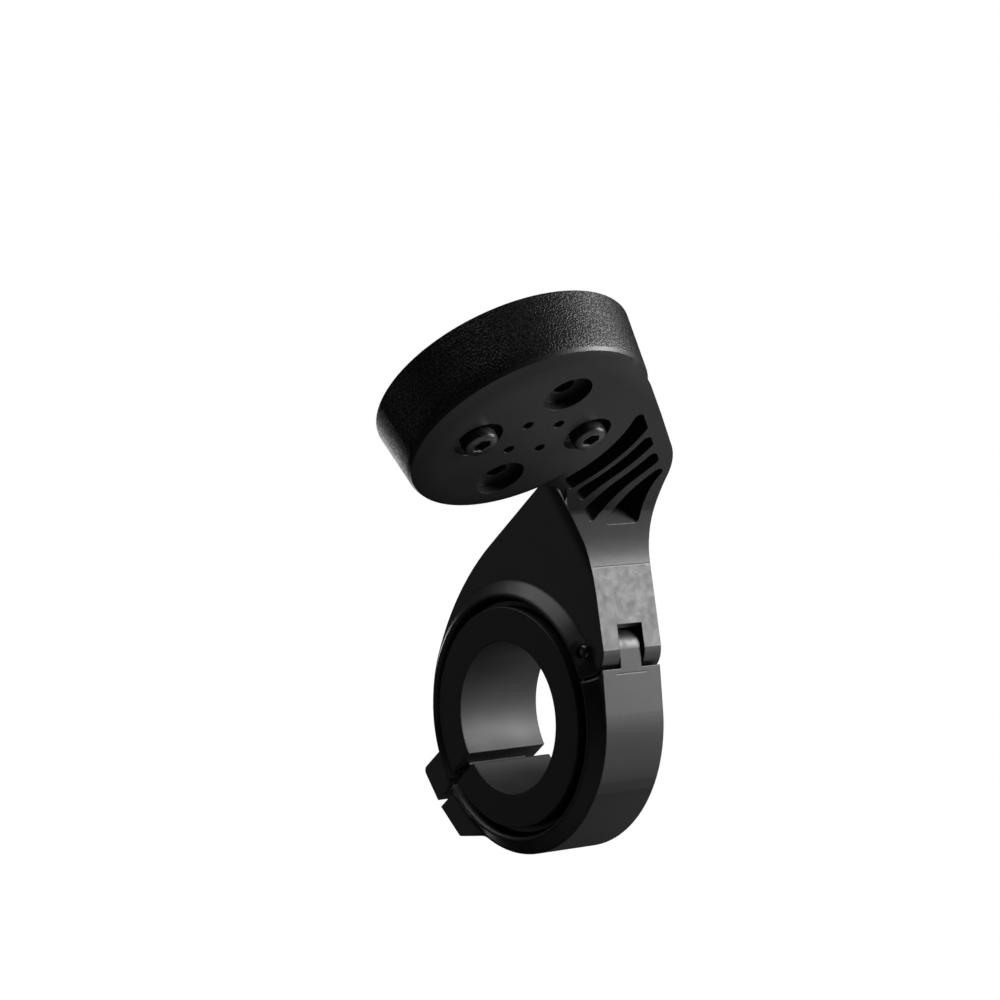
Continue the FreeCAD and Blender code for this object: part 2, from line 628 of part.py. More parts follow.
def core_corner(wall, arc, wall_side, arc_side):
    """Return where a rounded corner leaves an end wall and a curved wall, along and across the arm.

    The sides are 1 where the core lies beyond the wall or arc from the holder's axis, else -1.
    """
    across = f"({wall} + {wall_side} * core_corner_radius)"
    reach = f"({arc} + {arc_side} * core_corner_radius)"
    along = f"sqrt({reach} ^ 2 - {across} ^ 2)"
    share = f"({arc}) / {reach}"
    return (along, wall), (f"{along} * {share}", f"{across} * {share}")


def cut_cores(body):
    """Cut the three curved slots and the three-sided pocket from below."""
    start = "(arm_under_height - core_lead)"
    depth = "core_depth + core_lead"
    far = f"({FAR_ACROSS} - core_far_wall)"
    near = f"({NEAR_ACROSS} + core_near_wall)"
    corner = "core_corner_radius"
    slots = sketch_on(body, "slots", "XY_Plane", shift=("0", "0", start))
    for order, lead in (("first", " - first_core_lead"), ("second", ""), ("third", "")):
        inner = f"({order}_core_radius)"
        outer = f"({order}_core_radius + {order}_core_width)"
        near_wall = f"({near}{lead})"
        near_in = core_corner(near_wall, inner, 1, 1)
        far_in = core_corner(far, inner, -1, 1)
        far_out = core_corner(far, outer, -1, -1)
        near_out = core_corner(near_wall, outer, 1, -1)
        outline(slots, [
            (*plan_point(*near_in[0]), corner, -1),
            plan_point(*near_out[0]),
            (*plan_point(*near_out[1]), corner, -1),
            (*plan_point(*far_out[1]), outer, -1),
            (*plan_point(*far_out[0]), corner, -1),
            plan_point(*far_in[0]),
            (*plan_point(*far_in[1]), corner, -1),
            (*plan_point(*near_in[1]), inner, 1),
        ])
    pocket(body, slots, depth, back=True)

    side = f"(pocket_side_wall - {HALF_WIDTH})"
    wall_reach = f"(pocket_radius + {corner})"
    wall_x = f"(holder_x - sqrt({wall_reach} ^ 2 - (holder_y - {POCKET_FRONT} - {corner}) ^ 2))"
    wall_share = f"pocket_radius / {wall_reach}"
    tip = core_corner(far, "pocket_radius", -1, 1)
    bend_x, bend_y = neck_corner(f"({side} + {corner})", f"({far} - {corner})")
    pocket_plan = sketch_on(body, "pocket_plan", "XY_Plane", shift=("0", "0", start))
    outline(pocket_plan, [
        (side, f"{POCKET_FRONT} + {corner}"),
        (f"{side} + {corner}", POCKET_FRONT, corner, 1),
        (wall_x, POCKET_FRONT),
        (f"holder_x + ({wall_x} - holder_x) * {wall_share}",
         f"holder_y + ({POCKET_FRONT} + {corner} - holder_y) * {wall_share}", corner, 1),
        (*plan_point(*tip[1]), "pocket_radius", -1),
        (*plan_point(*tip[0]), corner, 1),
        (f"{bend_x} - {corner} * sin(arm_angle)", f"{bend_y} + {corner} * cos(arm_angle)"),
        (side, bend_y, corner, 1),
    ])
    pocket(body, pocket_plan, depth, back=True)


# Hinged lower half

def build_lower_clamp():
    """Model the lower clamp half with its tongue and lug."""
    body = new_body("lower_clamp")
    add_ring(body, "lower")
    shoulder = (f"clamp_radius * cos{SHOULDER_ANGLE}", f"-clamp_radius * sin{SHOULDER_ANGLE}")
    tongue_touch = (f"hinge_reach + tongue_radius * cos{SHOULDER_ANGLE}",
                    f"-hinge_drop - tongue_radius * sin{SHOULDER_ANGLE}")
    inner_touch = (f"({CLAMP_BORE} + shim_fit_gap) * cos{SHOULDER_ANGLE}",
                   f"-({CLAMP_BORE} + shim_fit_gap) * sin{SHOULDER_ANGLE}")
    front = sketch_on(body, "shoulder", "YZ_Plane")
    outline(front, [shoulder, tongue_touch, ("hinge_reach", "-hinge_drop"), inner_touch])
    pad(body, front, "clamp_width", both=True)

    far_out = "(2 * clamp_radius)"
    split = "(-front_split_drop - front_split_gap)"
    upper_space = sketch_on(body, "upper_space", "YZ_Plane")
    outline(upper_space, [
        (f"-{far_out}", f"-{HALF_SPLIT}"),
        ("0", f"-{HALF_SPLIT}"),
        ("0", split),
        (far_out, split),
        (far_out, far_out),
        (f"-{far_out}", far_out),
    ])
    pocket(body, upper_space, both=True)
    seat = sketch_on(body, "knuckle_seat", "YZ_Plane")
    circle(seat, "hinge_reach", "-hinge_drop", "knuckle_radius + knuckle_gap")
    pocket(body, seat, both=True)

    lug_foot_y = "(lug_rear_taper - lug_reach)"
    lug_root_y = f"-{CLAMP_BORE}"
    lug_run = f"({lug_root_y} - {lug_foot_y})"
    lug = sketch_on(body, "lower_lug", "YZ_Plane")
    outline(lug, [
        ("-lug_reach", f"-{HALF_SPLIT}"),
        (lug_foot_y, "-lower_lug_height"),
        (lug_root_y, f"-lower_lug_height - {lug_run} * tan(lower_lug_slope)"),
        (lug_root_y, f"-{HALF_SPLIT}"),
    ])
    pad(body, lug, "clamp_width", both=True)
    cut_bore(body, "lower")
    fillet(body, "lower_lug_corner", "lug_corner_radius",
           lambda edge: is_across(edge) and near_profile(edge, lug_foot_y, "-lower_lug_height"))
    ring_edge = value("clamp_radius")

    def at_lug_root(edge):
        point = middle(edge)
        return (is_across(edge) and abs(Vector(0, point.y, point.z).Length - ring_edge) < 0.05
                and point.y < -ring_edge / 2 and point.z < -value("lower_lug_height"))

    fillet(body, "lower_lug_root", "lug_root_radius", at_lug_root)

    tongue = sketch_on(body, "tongue", "YZ_Plane")
    circle(tongue, "hinge_reach", "-hinge_drop", "tongue_radius")
    pad(body, tongue, "tongue_width", both=True)
    web = sketch_on(body, "tongue_web", "YZ_Plane")
    outline(web, [
        ("hinge_reach", "-hinge_drop"),
        tongue_touch,
        shoulder,
        inner_touch,
        ("hinge_reach - tongue_radius * cos(60)", "-hinge_drop - tongue_radius * sin(60)"),
    ])
    pad(body, web, "tongue_width", both=True)
    cut_pin_hole(body, "tongue", "pin_running_gap")

    hole = sketch_on(body, "lower_bolt_hole", "XY_Plane")
    circle(hole, "0", "-bolt_reach", "bolt_core_diameter / 2 + bolt_swing_gap")
    pocket(body, hole, both=True)
    nut_room = sketch_on(body, "nut_room", "XY_Plane", shift=("0", "0", "-nut_seat_drop"))
    hexagon(nut_room, "0", "-bolt_reach", "nut_width + 2 * nut_fit_gap")
    pocket(body, nut_room)
    return body


# Shim, pin and fasteners

def build_bar_shim():
    """Turn the flanged shim and slit it at the rear."""
    body = new_body("bar_shim")
    bore = "bar_diameter / 2"
    face = f"({HALF_WIDTH} + flange_side_gap)"
    end = f"({face} + flange_thickness)"
    barrel = "bare_clamp_diameter / 2"
    profile = sketch_on(body, "shim_profile", "XY_Plane")
    outline(profile, [
        (f"-{end}", bore),
        (end, bore),
        (end, "flange_radius"),
        (face, "flange_radius"),
        (face, barrel),
        (f"-{face}", barrel),
        (f"-{face}", "flange_radius"),
        (f"-{end}", "flange_radius"),
    ])
    revolve(body, profile, "H_Axis")
    slit = sketch_on(body, "shim_slit", "YZ_Plane")
    outline(slit, [
        ("-2 * flange_radius", "-shim_slit_width / 2"),
        ("0", "-shim_slit_width / 2"),
        ("0", "shim_slit_width / 2"),
        ("-2 * flange_radius", "shim_slit_width / 2"),
    ])
    pocket(body, slit, both=True)
    return body


def build_hinge_pin():
    """Turn the hinge pin."""
    body = new_body("hinge_pin")
    end = f"({HALF_WIDTH} - pin_end_recess)"
    profile = sketch_on(body, "pin_profile", "XY_Plane", shift=("0", "hinge_reach", "-hinge_drop"))
    outline(profile, [
        (f"-{end}", "0"),
        (end, "0"),
        (end, "hinge_pin_diameter / 2"),
        (f"-{end}", "hinge_pin_diameter / 2"),
    ])
    revolve(body, profile, "H_Axis")
    return body


def build_clamp_bolt():
    """Turn the clamp bolt, its thread left at the core, and cut its hexagon."""
    body = new_body("clamp_bolt")
    top = "(bolt_seat_height + bolt_head_height)"
    tip = "(bolt_seat_height - bolt_length)"
    plain_end = "(bolt_seat_height - bolt_plain_length)"
    head = "bolt_head_diameter / 2"
    core = "bolt_core_diameter / 2"
    profile = sketch_on(body, "bolt_profile", "XZ_Plane", shift=("0", "0", "bolt_reach"))
    outline(profile, [
        ("0", top),
        ("0", tip),
        (core, tip),
        (core, plain_end),
        ("bolt_diameter / 2", plain_end),
        ("bolt_diameter / 2", "bolt_seat_height"),
        (head, "bolt_seat_height"),
        (head, f"{top} - head_chamfer"),
        (f"{head} - head_chamfer", top),
    ])
    revolve(body, profile, "V_Axis")
    socket = sketch_on(body, "bolt_hexagon", "XY_Plane", shift=("0", "0", top))
    hexagon(socket, "0", "-bolt_reach", "bolt_hex_width")
    pocket(body, socket, "bolt_hex_depth")
    return body


def build_clamp_nut():
    """Model the captive nut, its bore at the root of the thread."""
    body = new_body("clamp_nut")
    face = sketch_on(body, "nut_face", "XY_Plane", shift=("0", "0", "-nut_seat_drop - nut_height"))
    hexagon(face, "0", "-bolt_reach", "nut_width")
    pad(body, face, "nut_height")
    bore = sketch_on(body, "nut_hole", "XY_Plane")
    circle(bore, "0", "-bolt_reach", "nut_bore / 2")
    pocket(body, bore)
    return body


def build_holder_screw(name, side):
    """Turn one screw under the holder, head down, its thread left at the core."""
    body = new_body(name)
    shift = (f"holder_x + {side} * screw_circle_radius", "0", "-holder_y")
    low = f"({SCREW_SEAT} - screw_head_height)"
    head = "screw_head_diameter / 2"
    core = "screw_core_diameter / 2"
    profile = sketch_on(body, f"{name}_profile", "XZ_Plane", shift=shift)
    outline(profile, [
        ("0", low),
        (f"{head} - head_chamfer", low),
        (head, f"{low} + head_chamfer"),
        (head, SCREW_SEAT),
        (core, SCREW_SEAT),
        (core, f"{SCREW_SEAT} + screw_length"),
        ("0", f"{SCREW_SEAT} + screw_length"),
    ])
    revolve(body, profile, "V_Axis")
    socket = sketch_on(body, f"{name}_hexagon", "XY_Plane", shift=("0", "0", low))
    hexagon(socket, shift[0], "holder_y", "screw_hex_width")
    pocket(body, socket, "screw_hex_depth", back=True)
    return body


def build_insert_nut(name, side):
    """Turn one brass threaded insert, its bore at the root of the thread."""
    body = new_body(name)
    x = f"holder_x + {side} * screw_circle_radius"
    face = sketch_on(body, f"{name}_face", "XY_Plane", shift=("0", "0", RECESS_FLOOR))
    circle(face, x, "holder_y", "brass_insert_diameter / 2")
    pad(body, face, "brass_insert_length")
    bore = sketch_on(body, f"{name}_hole", "XY_Plane", shift=("0", "0", RECESS_FLOOR))
    circle(bore, x, "holder_y", "brass_insert_bore / 2")
    pocket(body, bore, "brass_insert_length", back=True)
    return body


def build_quarter_turn_insert():
    """Model the twin-tab socket: lips with two entries over a wider cavity."""
    body = new_body("quarter_turn_insert")
    top = f"({RIM_HEIGHT} - insert_rim_drop)"
    floor = f"({top} - socket_depth)"
    lip_under = f"({top} - socket_lip_thickness)"
    disc = sketch_on(body, "insert_disc", "XY_Plane", shift=("0", "0", RECESS_FLOOR))
    circle(disc, "holder_x", "holder_y", "recess_radius - insert_fit_gap")
    pad(body, disc, f"{top} - {RECESS_FLOOR}")
    mouth = sketch_on(body, "socket_mouth", "XY_Plane", shift=("0", "0", top))
    circle(mouth, "holder_x", "holder_y", "socket_lip_radius")
    pocket(body, mouth, "socket_depth")
    undercut = sketch_on(body, "socket_undercut", "XZ_Plane", shift=("holder_x", "0", "-holder_y"))
    outline(undercut, [
        ("socket_lip_radius / 2", floor),
        ("socket_tab_radius", floor),
        ("socket_tab_radius", lip_under),
        ("socket_lip_radius / 2", lip_under),
    ])
    groove(body, undercut, "V_Axis")
    for label, turn in (("right_entry", None), ("left_entry", "180")):
        entry = sketch_on(body, label, "XY_Plane", shift=("holder_x", "holder_y", top), turn=turn)
        inner = "socket_lip_radius - insert_fit_gap"
        outer = "socket_tab_radius"
        corners = []
        for radius, sign in ((inner, "-"), (outer, "-"), (outer, ""), (inner, "")):
            corners.append((f"({radius}) * cos(socket_entry_angle)",
                            f"{sign}({radius}) * sin(socket_entry_angle)"))
        corners[2] = (*corners[2], outer, 1)
        outline(entry, corners)
        pocket(body, entry, "socket_lip_thickness")
    nut_holes = sketch_on(body, "nut_holes", "XY_Plane", shift=("0", "0", RECESS_FLOOR))
    for side in (1, -1):
        circle(nut_holes, f"holder_x + {side} * screw_circle_radius", "holder_y",
               "brass_insert_diameter / 2 + brass_insert_fit_gap")
    pocket(body, nut_holes, "brass_insert_length", back=True)
    return body


def write_parts(bodies):
    """Check every object and write one STEP file for each body."""
    document.recompute()
    for item in document.Objects:
        if {"Invalid", "Error"} & set(item.State):
            raise RuntimeError(f"{item.Name} did not compute: {item.State}")
    os.makedirs("parts", exist_ok=True)
    for body in bodies:
        shape = body.Shape
        if shape.isNull() or not shape.isValid() or len(shape.Solids) != 1:
            raise RuntimeError(f"{body.Label} is not one valid solid")
        shape.exportStep(os.path.join("parts", f"{body.Label}.step"))
        print(f"{body.Label}: {shape.Volume / 1000:.2f} cm3")


write_parts([
    build_mount_arm(),
    build_lower_clamp(),
    build_bar_shim(),
    build_hinge_pin(),
    build_clamp_bolt(),
    build_clamp_nut(),
    build_quarter_turn_insert(),
    build_holder_screw("insert_screw_right", 1),
    build_holder_screw("insert_screw_left", -1),
    build_insert_nut("insert_nut_right", 1),
    build_insert_nut("insert_nut_left", -1),
])
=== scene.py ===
"""Looks of the out-front computer mount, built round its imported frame.

The bar runs along X, the arm reaches forward along Y and the holder opens along Z. Blender works
in metres. The sizes in the classes are in millimetres, and MM turns them into metres.
"""

import logging
import math
from collections.abc import Callable
from dataclasses import dataclass, field
from enum import Enum

import bmesh
import bpy
from bmesh.types import BMEdge, BMesh, BMVert
from mathutils import Matrix, Vector

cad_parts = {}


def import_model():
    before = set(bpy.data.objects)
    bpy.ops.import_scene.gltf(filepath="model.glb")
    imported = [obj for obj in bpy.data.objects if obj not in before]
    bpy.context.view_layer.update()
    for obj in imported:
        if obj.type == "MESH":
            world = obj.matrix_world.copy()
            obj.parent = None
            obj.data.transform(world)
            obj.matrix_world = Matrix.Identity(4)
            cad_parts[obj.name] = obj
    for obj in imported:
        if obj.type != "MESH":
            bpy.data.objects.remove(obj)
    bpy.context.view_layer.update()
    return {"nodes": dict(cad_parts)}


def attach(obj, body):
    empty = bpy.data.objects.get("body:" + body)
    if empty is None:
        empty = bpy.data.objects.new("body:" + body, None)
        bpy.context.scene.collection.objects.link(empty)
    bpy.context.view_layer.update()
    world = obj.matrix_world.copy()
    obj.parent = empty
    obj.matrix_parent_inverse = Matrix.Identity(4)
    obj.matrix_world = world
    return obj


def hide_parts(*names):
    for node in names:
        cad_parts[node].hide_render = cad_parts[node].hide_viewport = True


LOG = logging.getLogger("mount")
MM = 0.001
RING_WELD = 0.0005
NOISE_MEAN = 0.5
EDGE_SAMPLES = 6
# A Mix node's sockets share their names, so these are the places of its two operands.
MIX_COLOURS = (6, 7)
MIX_VECTORS = (4, 5)
Outline = Callable[[float], float]
Colour = tuple[float, float, float]
Direction = tuple[float, float, float]
Point = tuple[float, float]
Rows = tuple[tuple[float, float], ...]
Pair = tuple[BMVert, BMVert]
STRAIGHT_DOWN: Direction = (0.0, 0.0, -1.0)


class Body(Enum):
    """The moving halves of the mount."""

    ARM = "arm"
    LOWER = "lower"


class Slot(Enum):
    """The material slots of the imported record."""

    MOULDED = "moulded_body"
    PIN = "pin_steel"
    SCREW = "screw_steel"
    BRASS = "brass_inserts"


@dataclass(frozen=True)
class Step:
    """Where something starts on a surface, and how far its edge spreads to either side."""

    place: float
    soft: float


@dataclass(frozen=True)
class Noise:
    """A noise pattern: its features in a millimetre, its octaves and the finer ones' weight."""

    per_mm: float
    octaves: float
    rough: float = 0.5


class Signal:
    """A value that varies over a surface: one output socket with Python's operators."""

    def __init__(self, graph: "Graph", socket: bpy.types.NodeSocket) -> None:
        """Wraps a socket.

        Args:
            graph: The graph that the socket belongs to.
            socket: The output socket.
        """
        self.graph = graph
        self.socket = socket

    def math(self, operation: str, *others: "Signal | float") -> "Signal":
        """Feeds this value and others to a Math node.

        Args:
            operation: The Math node's operation.
            others: The operands after this one.

        Returns:
            The node's result.
        """
        return self.graph.math(operation, self, *others)

    def __add__(self, other: "Signal | float") -> "Signal":
        """This plus other."""
        return self.math("ADD", other)

    __radd__ = __add__

    def __sub__(self, other: "Signal | float") -> "Signal":
        """This minus other."""
        return self.math("SUBTRACT", other)

    def __rsub__(self, other: float) -> "Signal":
        """A number minus this."""
        return self.graph.math("SUBTRACT", other, self)

    def __mul__(self, other: "Signal | float") -> "Signal":
        """This times other."""
        return self.math("MULTIPLY", other)

    def __truediv__(self, other: "Signal | float") -> "Signal":
        """This divided by other."""
        return self.math("DIVIDE", other)

    def __abs__(self) -> "Signal":
        """This value without its sign."""
        return self.math("ABSOLUTE")

    def above(self, step: Step) -> "Signal":
        """Tells where this value is above a step.

        Args:
            step: The step.

        Returns:
            0 below the step and 1 above it.
        """
        return self.graph.node(
            "ShaderNodeMapRange",
            {"interpolation_type": "SMOOTHSTEP"},
            {
                "Value": self,
                "From Min": step.place - step.soft,
                "From Max": step.place + step.soft,
            },
        )

    def below(self, step: Step) -> "Signal":
        """Tells where this value is below a step.

        Args:
            step: The step.

        Returns:
            1 below the step and 0 above it.
        """
        return 1.0 - self.above(step)

    def within(self, step: Step) -> "Signal":
        """Tells where this value is nearer to 0 than a step, on either side.

        Args:
            step: The step.

        Returns:
            1 nearer to 0 and 0 past the step.
        """
        return abs(self).below(step)

    def between(self, start: Step, end: Step) -> "Signal":
        """Tells where this value lies between two steps.

        Args:
            start: The lower step.
            end: The upper step.

        Returns:
            1 between the steps and 0 outside them.
        """
        return self.above(start) * self.below(end)


Spot = tuple[Signal, Signal, Signal]


class Graph:
    """A material's node tree, with one way to add any node."""

    def __init__(self, name: str) -> None:
        """Makes an empty material.

        Args:
            name: The material's name.
        """
        self.material = bpy.data.materials.new(name)
        self.material.use_nodes = True
        self.tree = self.material.node_tree
        self.tree.nodes.clear()

    def node(
        self,
        kind: str,
        settings: dict[str, object] | None = None,
        inputs: dict[str | int, object] | None = None,
        output: str | int = 0,
    ) -> Signal:
        """Adds a node.

        Args:
            kind: The node's type.
            settings: Its properties, and the stops of a ramp.
            inputs: The values or links of its sockets.
            output: The output wanted.

        Returns:
            The wanted output.
        """
        made = self.tree.nodes.new(kind)
        for name, value in (settings or {}).items():
            if name == "stops":
                self.set_stops(made.color_ramp, value)
            else:
                setattr(made, name, value)
        for key, value in (inputs or {}).items():
            if isinstance(value, Signal):
                self.tree.links.new(value.socket, made.inputs[key])
            else:
                made.inputs[key].default_value = value
        return Signal(self, made.outputs[output] if made.outputs else made.inputs[0])

    def set_stops(self, ramp: bpy.types.ColorRamp, stops: Rows) -> None:
        """Gives a ramp its grey stops.

        Args:
            ramp: The ramp, which has two stops of its own.
            stops: Each stop's place and grey value.
        """
        while len(ramp.elements) < len(stops):
            ramp.elements.new(0.5)
        for element, (place, grey) in zip(ramp.elements, stops):
            element.position = place
            element.color = (grey, grey, grey, 1.0)

    def math(self, operation: str, *operands: "Signal | float") -> Signal:
        """Adds a Math node.

        Args:
            operation: Its operation.
            operands: Its operands in order.

        Returns:
            The result.
        """
        return self.node("ShaderNodeMath", {"operation": operation}, dict(enumerate(operands)))

    def length(self, first: Signal, second: Signal) -> Signal:
        """The length of a line from its runs along two axes.

        Args:
            first: The run along one axis.
            second: The run along the other.

        Returns:
            The length.
        """
        return self.math("SQRT", first * first + second * second)

    def place(self) -> Signal:
        """The point on the piece, in millimetres of the frame."""
        point = self.node("ShaderNodeTexCoord", output="Object")
        return self.node(
            "ShaderNodeVectorMath", {"operation": "SCALE"}, {0: point, "Scale": 1.0 / MM}
        )

    def axes(self, point: Signal) -> Spot:
        """Splits a point into its coordinates.

        Args:
            point: The point.

        Returns:
            Its X, Y and Z.
        """
        parts = self.node("ShaderNodeSeparateXYZ", inputs={0: point})
        node = parts.socket.node
        return parts, Signal(self, node.outputs[1]), Signal(self, node.outputs[2])

    def noise(self, point: Signal, pattern: Noise) -> Signal:
        """Adds a noise pattern.

        Args:
            point: The point in millimetres.
            pattern: The pattern.

        Returns:
            The noise, about NOISE_MEAN on average.
        """
        return self.node(
            "ShaderNodeTexNoise",
            {"noise_dimensions": "3D"},
            {
                "Vector": point,
                "Scale": pattern.per_mm,
                "Detail": pattern.octaves,
                "Roughness": pattern.rough,
            },
        )

    def tint(self, amount: Signal, dark: Colour, light: Colour) -> Signal:
        """Mixes two colours.

        Args:
            amount: 0 for the first colour and 1 for the second.
            dark: The first colour.
            light: The second colour.

        Returns:
            The mixed colour.
        """
        low, high = MIX_COLOURS
        inputs = {0: amount, low: (*dark, 1.0), high: (*light, 1.0)}
        return self.node("ShaderNodeMix", {"data_type": "RGBA"}, inputs, output=2)

    def rounded(self, radius: float) -> Signal:
        """The normal with each edge eased.

        Args:
            radius: The edge's radius in millimetres.

        Returns:
            The normal.
        """
        return self.node("ShaderNodeBevel", {"samples": EDGE_SAMPLES}, {"Radius": radius * MM})

    def raised(self, height: Signal, depth: float, normal: Signal) -> Signal:
        """Tilts a normal by a height pattern.

        Args:
            height: The pattern, 0 to 1.
            depth: The relief of the pattern in millimetres.
            normal: The normal of the plain surface.

        Returns:
            The tilted normal.
        """
        return self.node(
            "ShaderNodeBump",
            inputs={"Strength": 1.0, "Distance": depth * MM, "Height": height, "Normal": normal},
        )

    def blend(self, amount: Signal, first: "Signal | Direction", second: Signal) -> Signal:
        """Mixes two directions.

        Args:
            amount: 0 for the first direction and 1 for the second.
            first: The first direction.
            second: The second direction.

        Returns:
            The mixed direction, at length 1.
        """
        low, high = MIX_VECTORS
        inputs = {0: amount, low: first, high: second}
        mixed = self.node("ShaderNodeMix", {"data_type": "VECTOR"}, inputs, output=1)
        return self.node("ShaderNodeVectorMath", {"operation": "NORMALIZE"}, {0: mixed})

    def shade(self, varied: dict[str, Signal], fixed: dict[str, object]) -> bpy.types.Material:
        """Adds the surface shader and closes the material.

        Args:
            varied: The sockets that change over the surface.
            fixed: The sockets that hold one value.

        Returns:
            The finished material.
        """
        surface = self.node("ShaderNodeBsdfPrincipled", inputs={**varied, **fixed})
        self.node("ShaderNodeOutputMaterial", inputs={"Surface": surface})
        return self.material


@dataclass(frozen=True)
class MouldedPlastic:
    """Black glass-filled plastic with a spark-eroded grain.

    The holder's wall has the coarse grain of the tool's cavity. It stops at the eased lower edge,
    and the other faces have a fine satin grain. The underside curves up towards its edges, and
    the collars flow out of the clamp's sides.
    """

    name: str = "moulded_plastic"
    dark: Colour = (0.0085, 0.0085, 0.0088)
    light: Colour = (0.017, 0.017, 0.0175)
    refraction: float = 1.53
    edge_radius: float = 0.16
    collar_radius: float = 0.8
    clouds: Noise = Noise(0.09, 3.0)
    blotches: Noise = Noise(0.7, 2.0)
    satin: Noise = Noise(5.5, 2.0, 0.6)
    grain: Noise = Noise(3.4, 1.0)
    grain_stops: Rows = ((0.38, 0.0), (0.5, 0.42), (0.62, 1.0))
    grain_mean: float = 0.45
    cloud_tint: float = 0.6
    grain_tint: float = 0.5
    roughness: float = 0.4
    cloud_shine: float = 0.12
    satin_shine: float = 0.1
    patch_shine: float = 0.35
    grain_shine: float = 0.2
    pit_shade: float = 0.9
    grain_depth: float = 0.03
    blotch_depth: float = 0.012
    satin_depth: float = 0.009
    seam_depth: float = 0.02
    holder: Point = (30.7, 58.16)
    wall_inner: Step = Step(19.7, 0.05)
    wall_outer: Step = Step(21.7, 0.05)
    wall_foot: Step = Step(17.95, 0.06)
    facing_down: Step = Step(-0.9, 0.02)
    underside: float = 16.0
    underside_rise: float = 1.35
    underside_end: Step = Step(17.5, 0.05)
    pocket_rear: Step = Step(36.15, 0.05)
    pocket_front: Step = Step(36.5, 0.05)
    pocket_side: Step = Step(5.5, 0.3)
    pocket_foot: Step = Step(16.3, 0.1)
    pocket_top: Step = Step(19.5, 0.3)
    side_face: Step = Step(6.0, 0.05)
    collar_inner: Step = Step(19.6, 0.5)
    collar_outer: Step = Step(24.2, 0.5)
    pin: Point = (21.96, -1.72)
    pin_clearance: Step = Step(2.3, 0.6)
    strip_side: Step = Step(6.03, 0.04)
    strip_rear: Step = Step(22.0, 0.5)
    strip_top: Step = Step(8.0, 0.05)
    seam_height: float = 8.0
    seam_width: Step = Step(0.09, 0.06)
    root_height: float = -7.0
    tongue_side: Step = Step(3.2, 0.3)
    tongue_rear: Step = Step(18.0, 0.5)

    def form(self, graph: Graph, spot: Spot) -> Signal:
        """The normal of the eased form.

        Args:
            graph: The material's nodes.
            spot: The point's coordinates.

        Returns:
            The normal.
        """
        across, along, up = spot
        from_bar = graph.length(along, up)
        from_pin = graph.length(along - self.pin[0], up - self.pin[1])
        collar = from_bar.between(self.collar_inner, self.collar_outer)
        collar = collar * abs(across).above(self.side_face) * from_pin.above(self.pin_clearance)
        eased = graph.rounded(self.edge_radius)
        eased = graph.blend(collar, eased, graph.rounded(self.collar_radius))
        _, _, facing = graph.axes(graph.node("ShaderNodeNewGeometry", output="True Normal"))
        below = facing.below(self.facing_down) * up.below(self.underside_end)
        rise = graph.math("MINIMUM", (up - self.underside) / self.underside_rise, 1.0)
        return graph.blend(below, eased, graph.blend(rise, STRAIGHT_DOWN, eased))

    def grained(self, graph: Graph, spot: Spot) -> Signal:
        """Tells where the coarse grain lies: on the holder's wall and the pocket's front.

        Args:
            graph: The material's nodes.
            spot: The point's coordinates.

        Returns:
            1 on those walls and 0 elsewhere.
        """
        across, along, up = spot
        reach = graph.length(across - self.holder[0], along - self.holder[1])
        wall = reach.between(self.wall_inner, self.wall_outer) * up.above(self.wall_foot)
        pocket = along.between(self.pocket_rear, self.pocket_front)
        pocket = pocket * up.between(self.pocket_foot, self.pocket_top)
        return graph.math("MAXIMUM", wall, pocket * across.within(self.pocket_side))

    def material(self) -> bpy.types.Material:
        """Builds the plastic's nodes.

        Returns:
            The material.
        """
        graph = Graph(self.name)
        point = graph.place()
        spot = graph.axes(point)
        across, along, up = spot
        wall = self.grained(graph, spot)
        clouds = graph.noise(point, self.clouds)
        blotches = graph.noise(point, self.blotches)
        satin = graph.noise(point, self.satin)
        cells = graph.noise(point, self.grain)
        grain = graph.node("ShaderNodeValToRGB", {"stops": self.grain_stops}, {"Fac": cells})
        strip = across.within(self.strip_side) * along.above(self.strip_rear)
        seam = (up - self.seam_height).within(self.seam_width) * strip
        root = (up - self.root_height).within(self.seam_width) * along.above(self.tongue_rear)
        seam = seam + root * across.within(self.tongue_side)
        relief = (
            grain * wall
            + satin * (self.satin_depth / self.grain_depth)
            + blotches * (self.blotch_depth / self.grain_depth)
            - seam * (self.seam_depth / self.grain_depth)
        )
        shine = (
            self.roughness
            + (clouds - NOISE_MEAN) * self.cloud_shine
            + (satin - NOISE_MEAN) * self.satin_shine
            + (blotches - NOISE_MEAN) * strip * up.below(self.strip_top) * self.patch_shine
            + (self.grain_mean - grain) * wall * self.grain_shine
        )
        tint = clouds * self.cloud_tint + grain * wall * self.grain_tint
        return graph.shade(
            {
                "Base Color": graph.tint(tint, self.dark, self.light),
                "Roughness": shine,
                "Metallic": (1.0 - grain) * wall * self.pit_shade,
                "Normal": graph.raised(relief, self.grain_depth, self.form(graph, spot)),
            },
            {"IOR": self.refraction},
        )


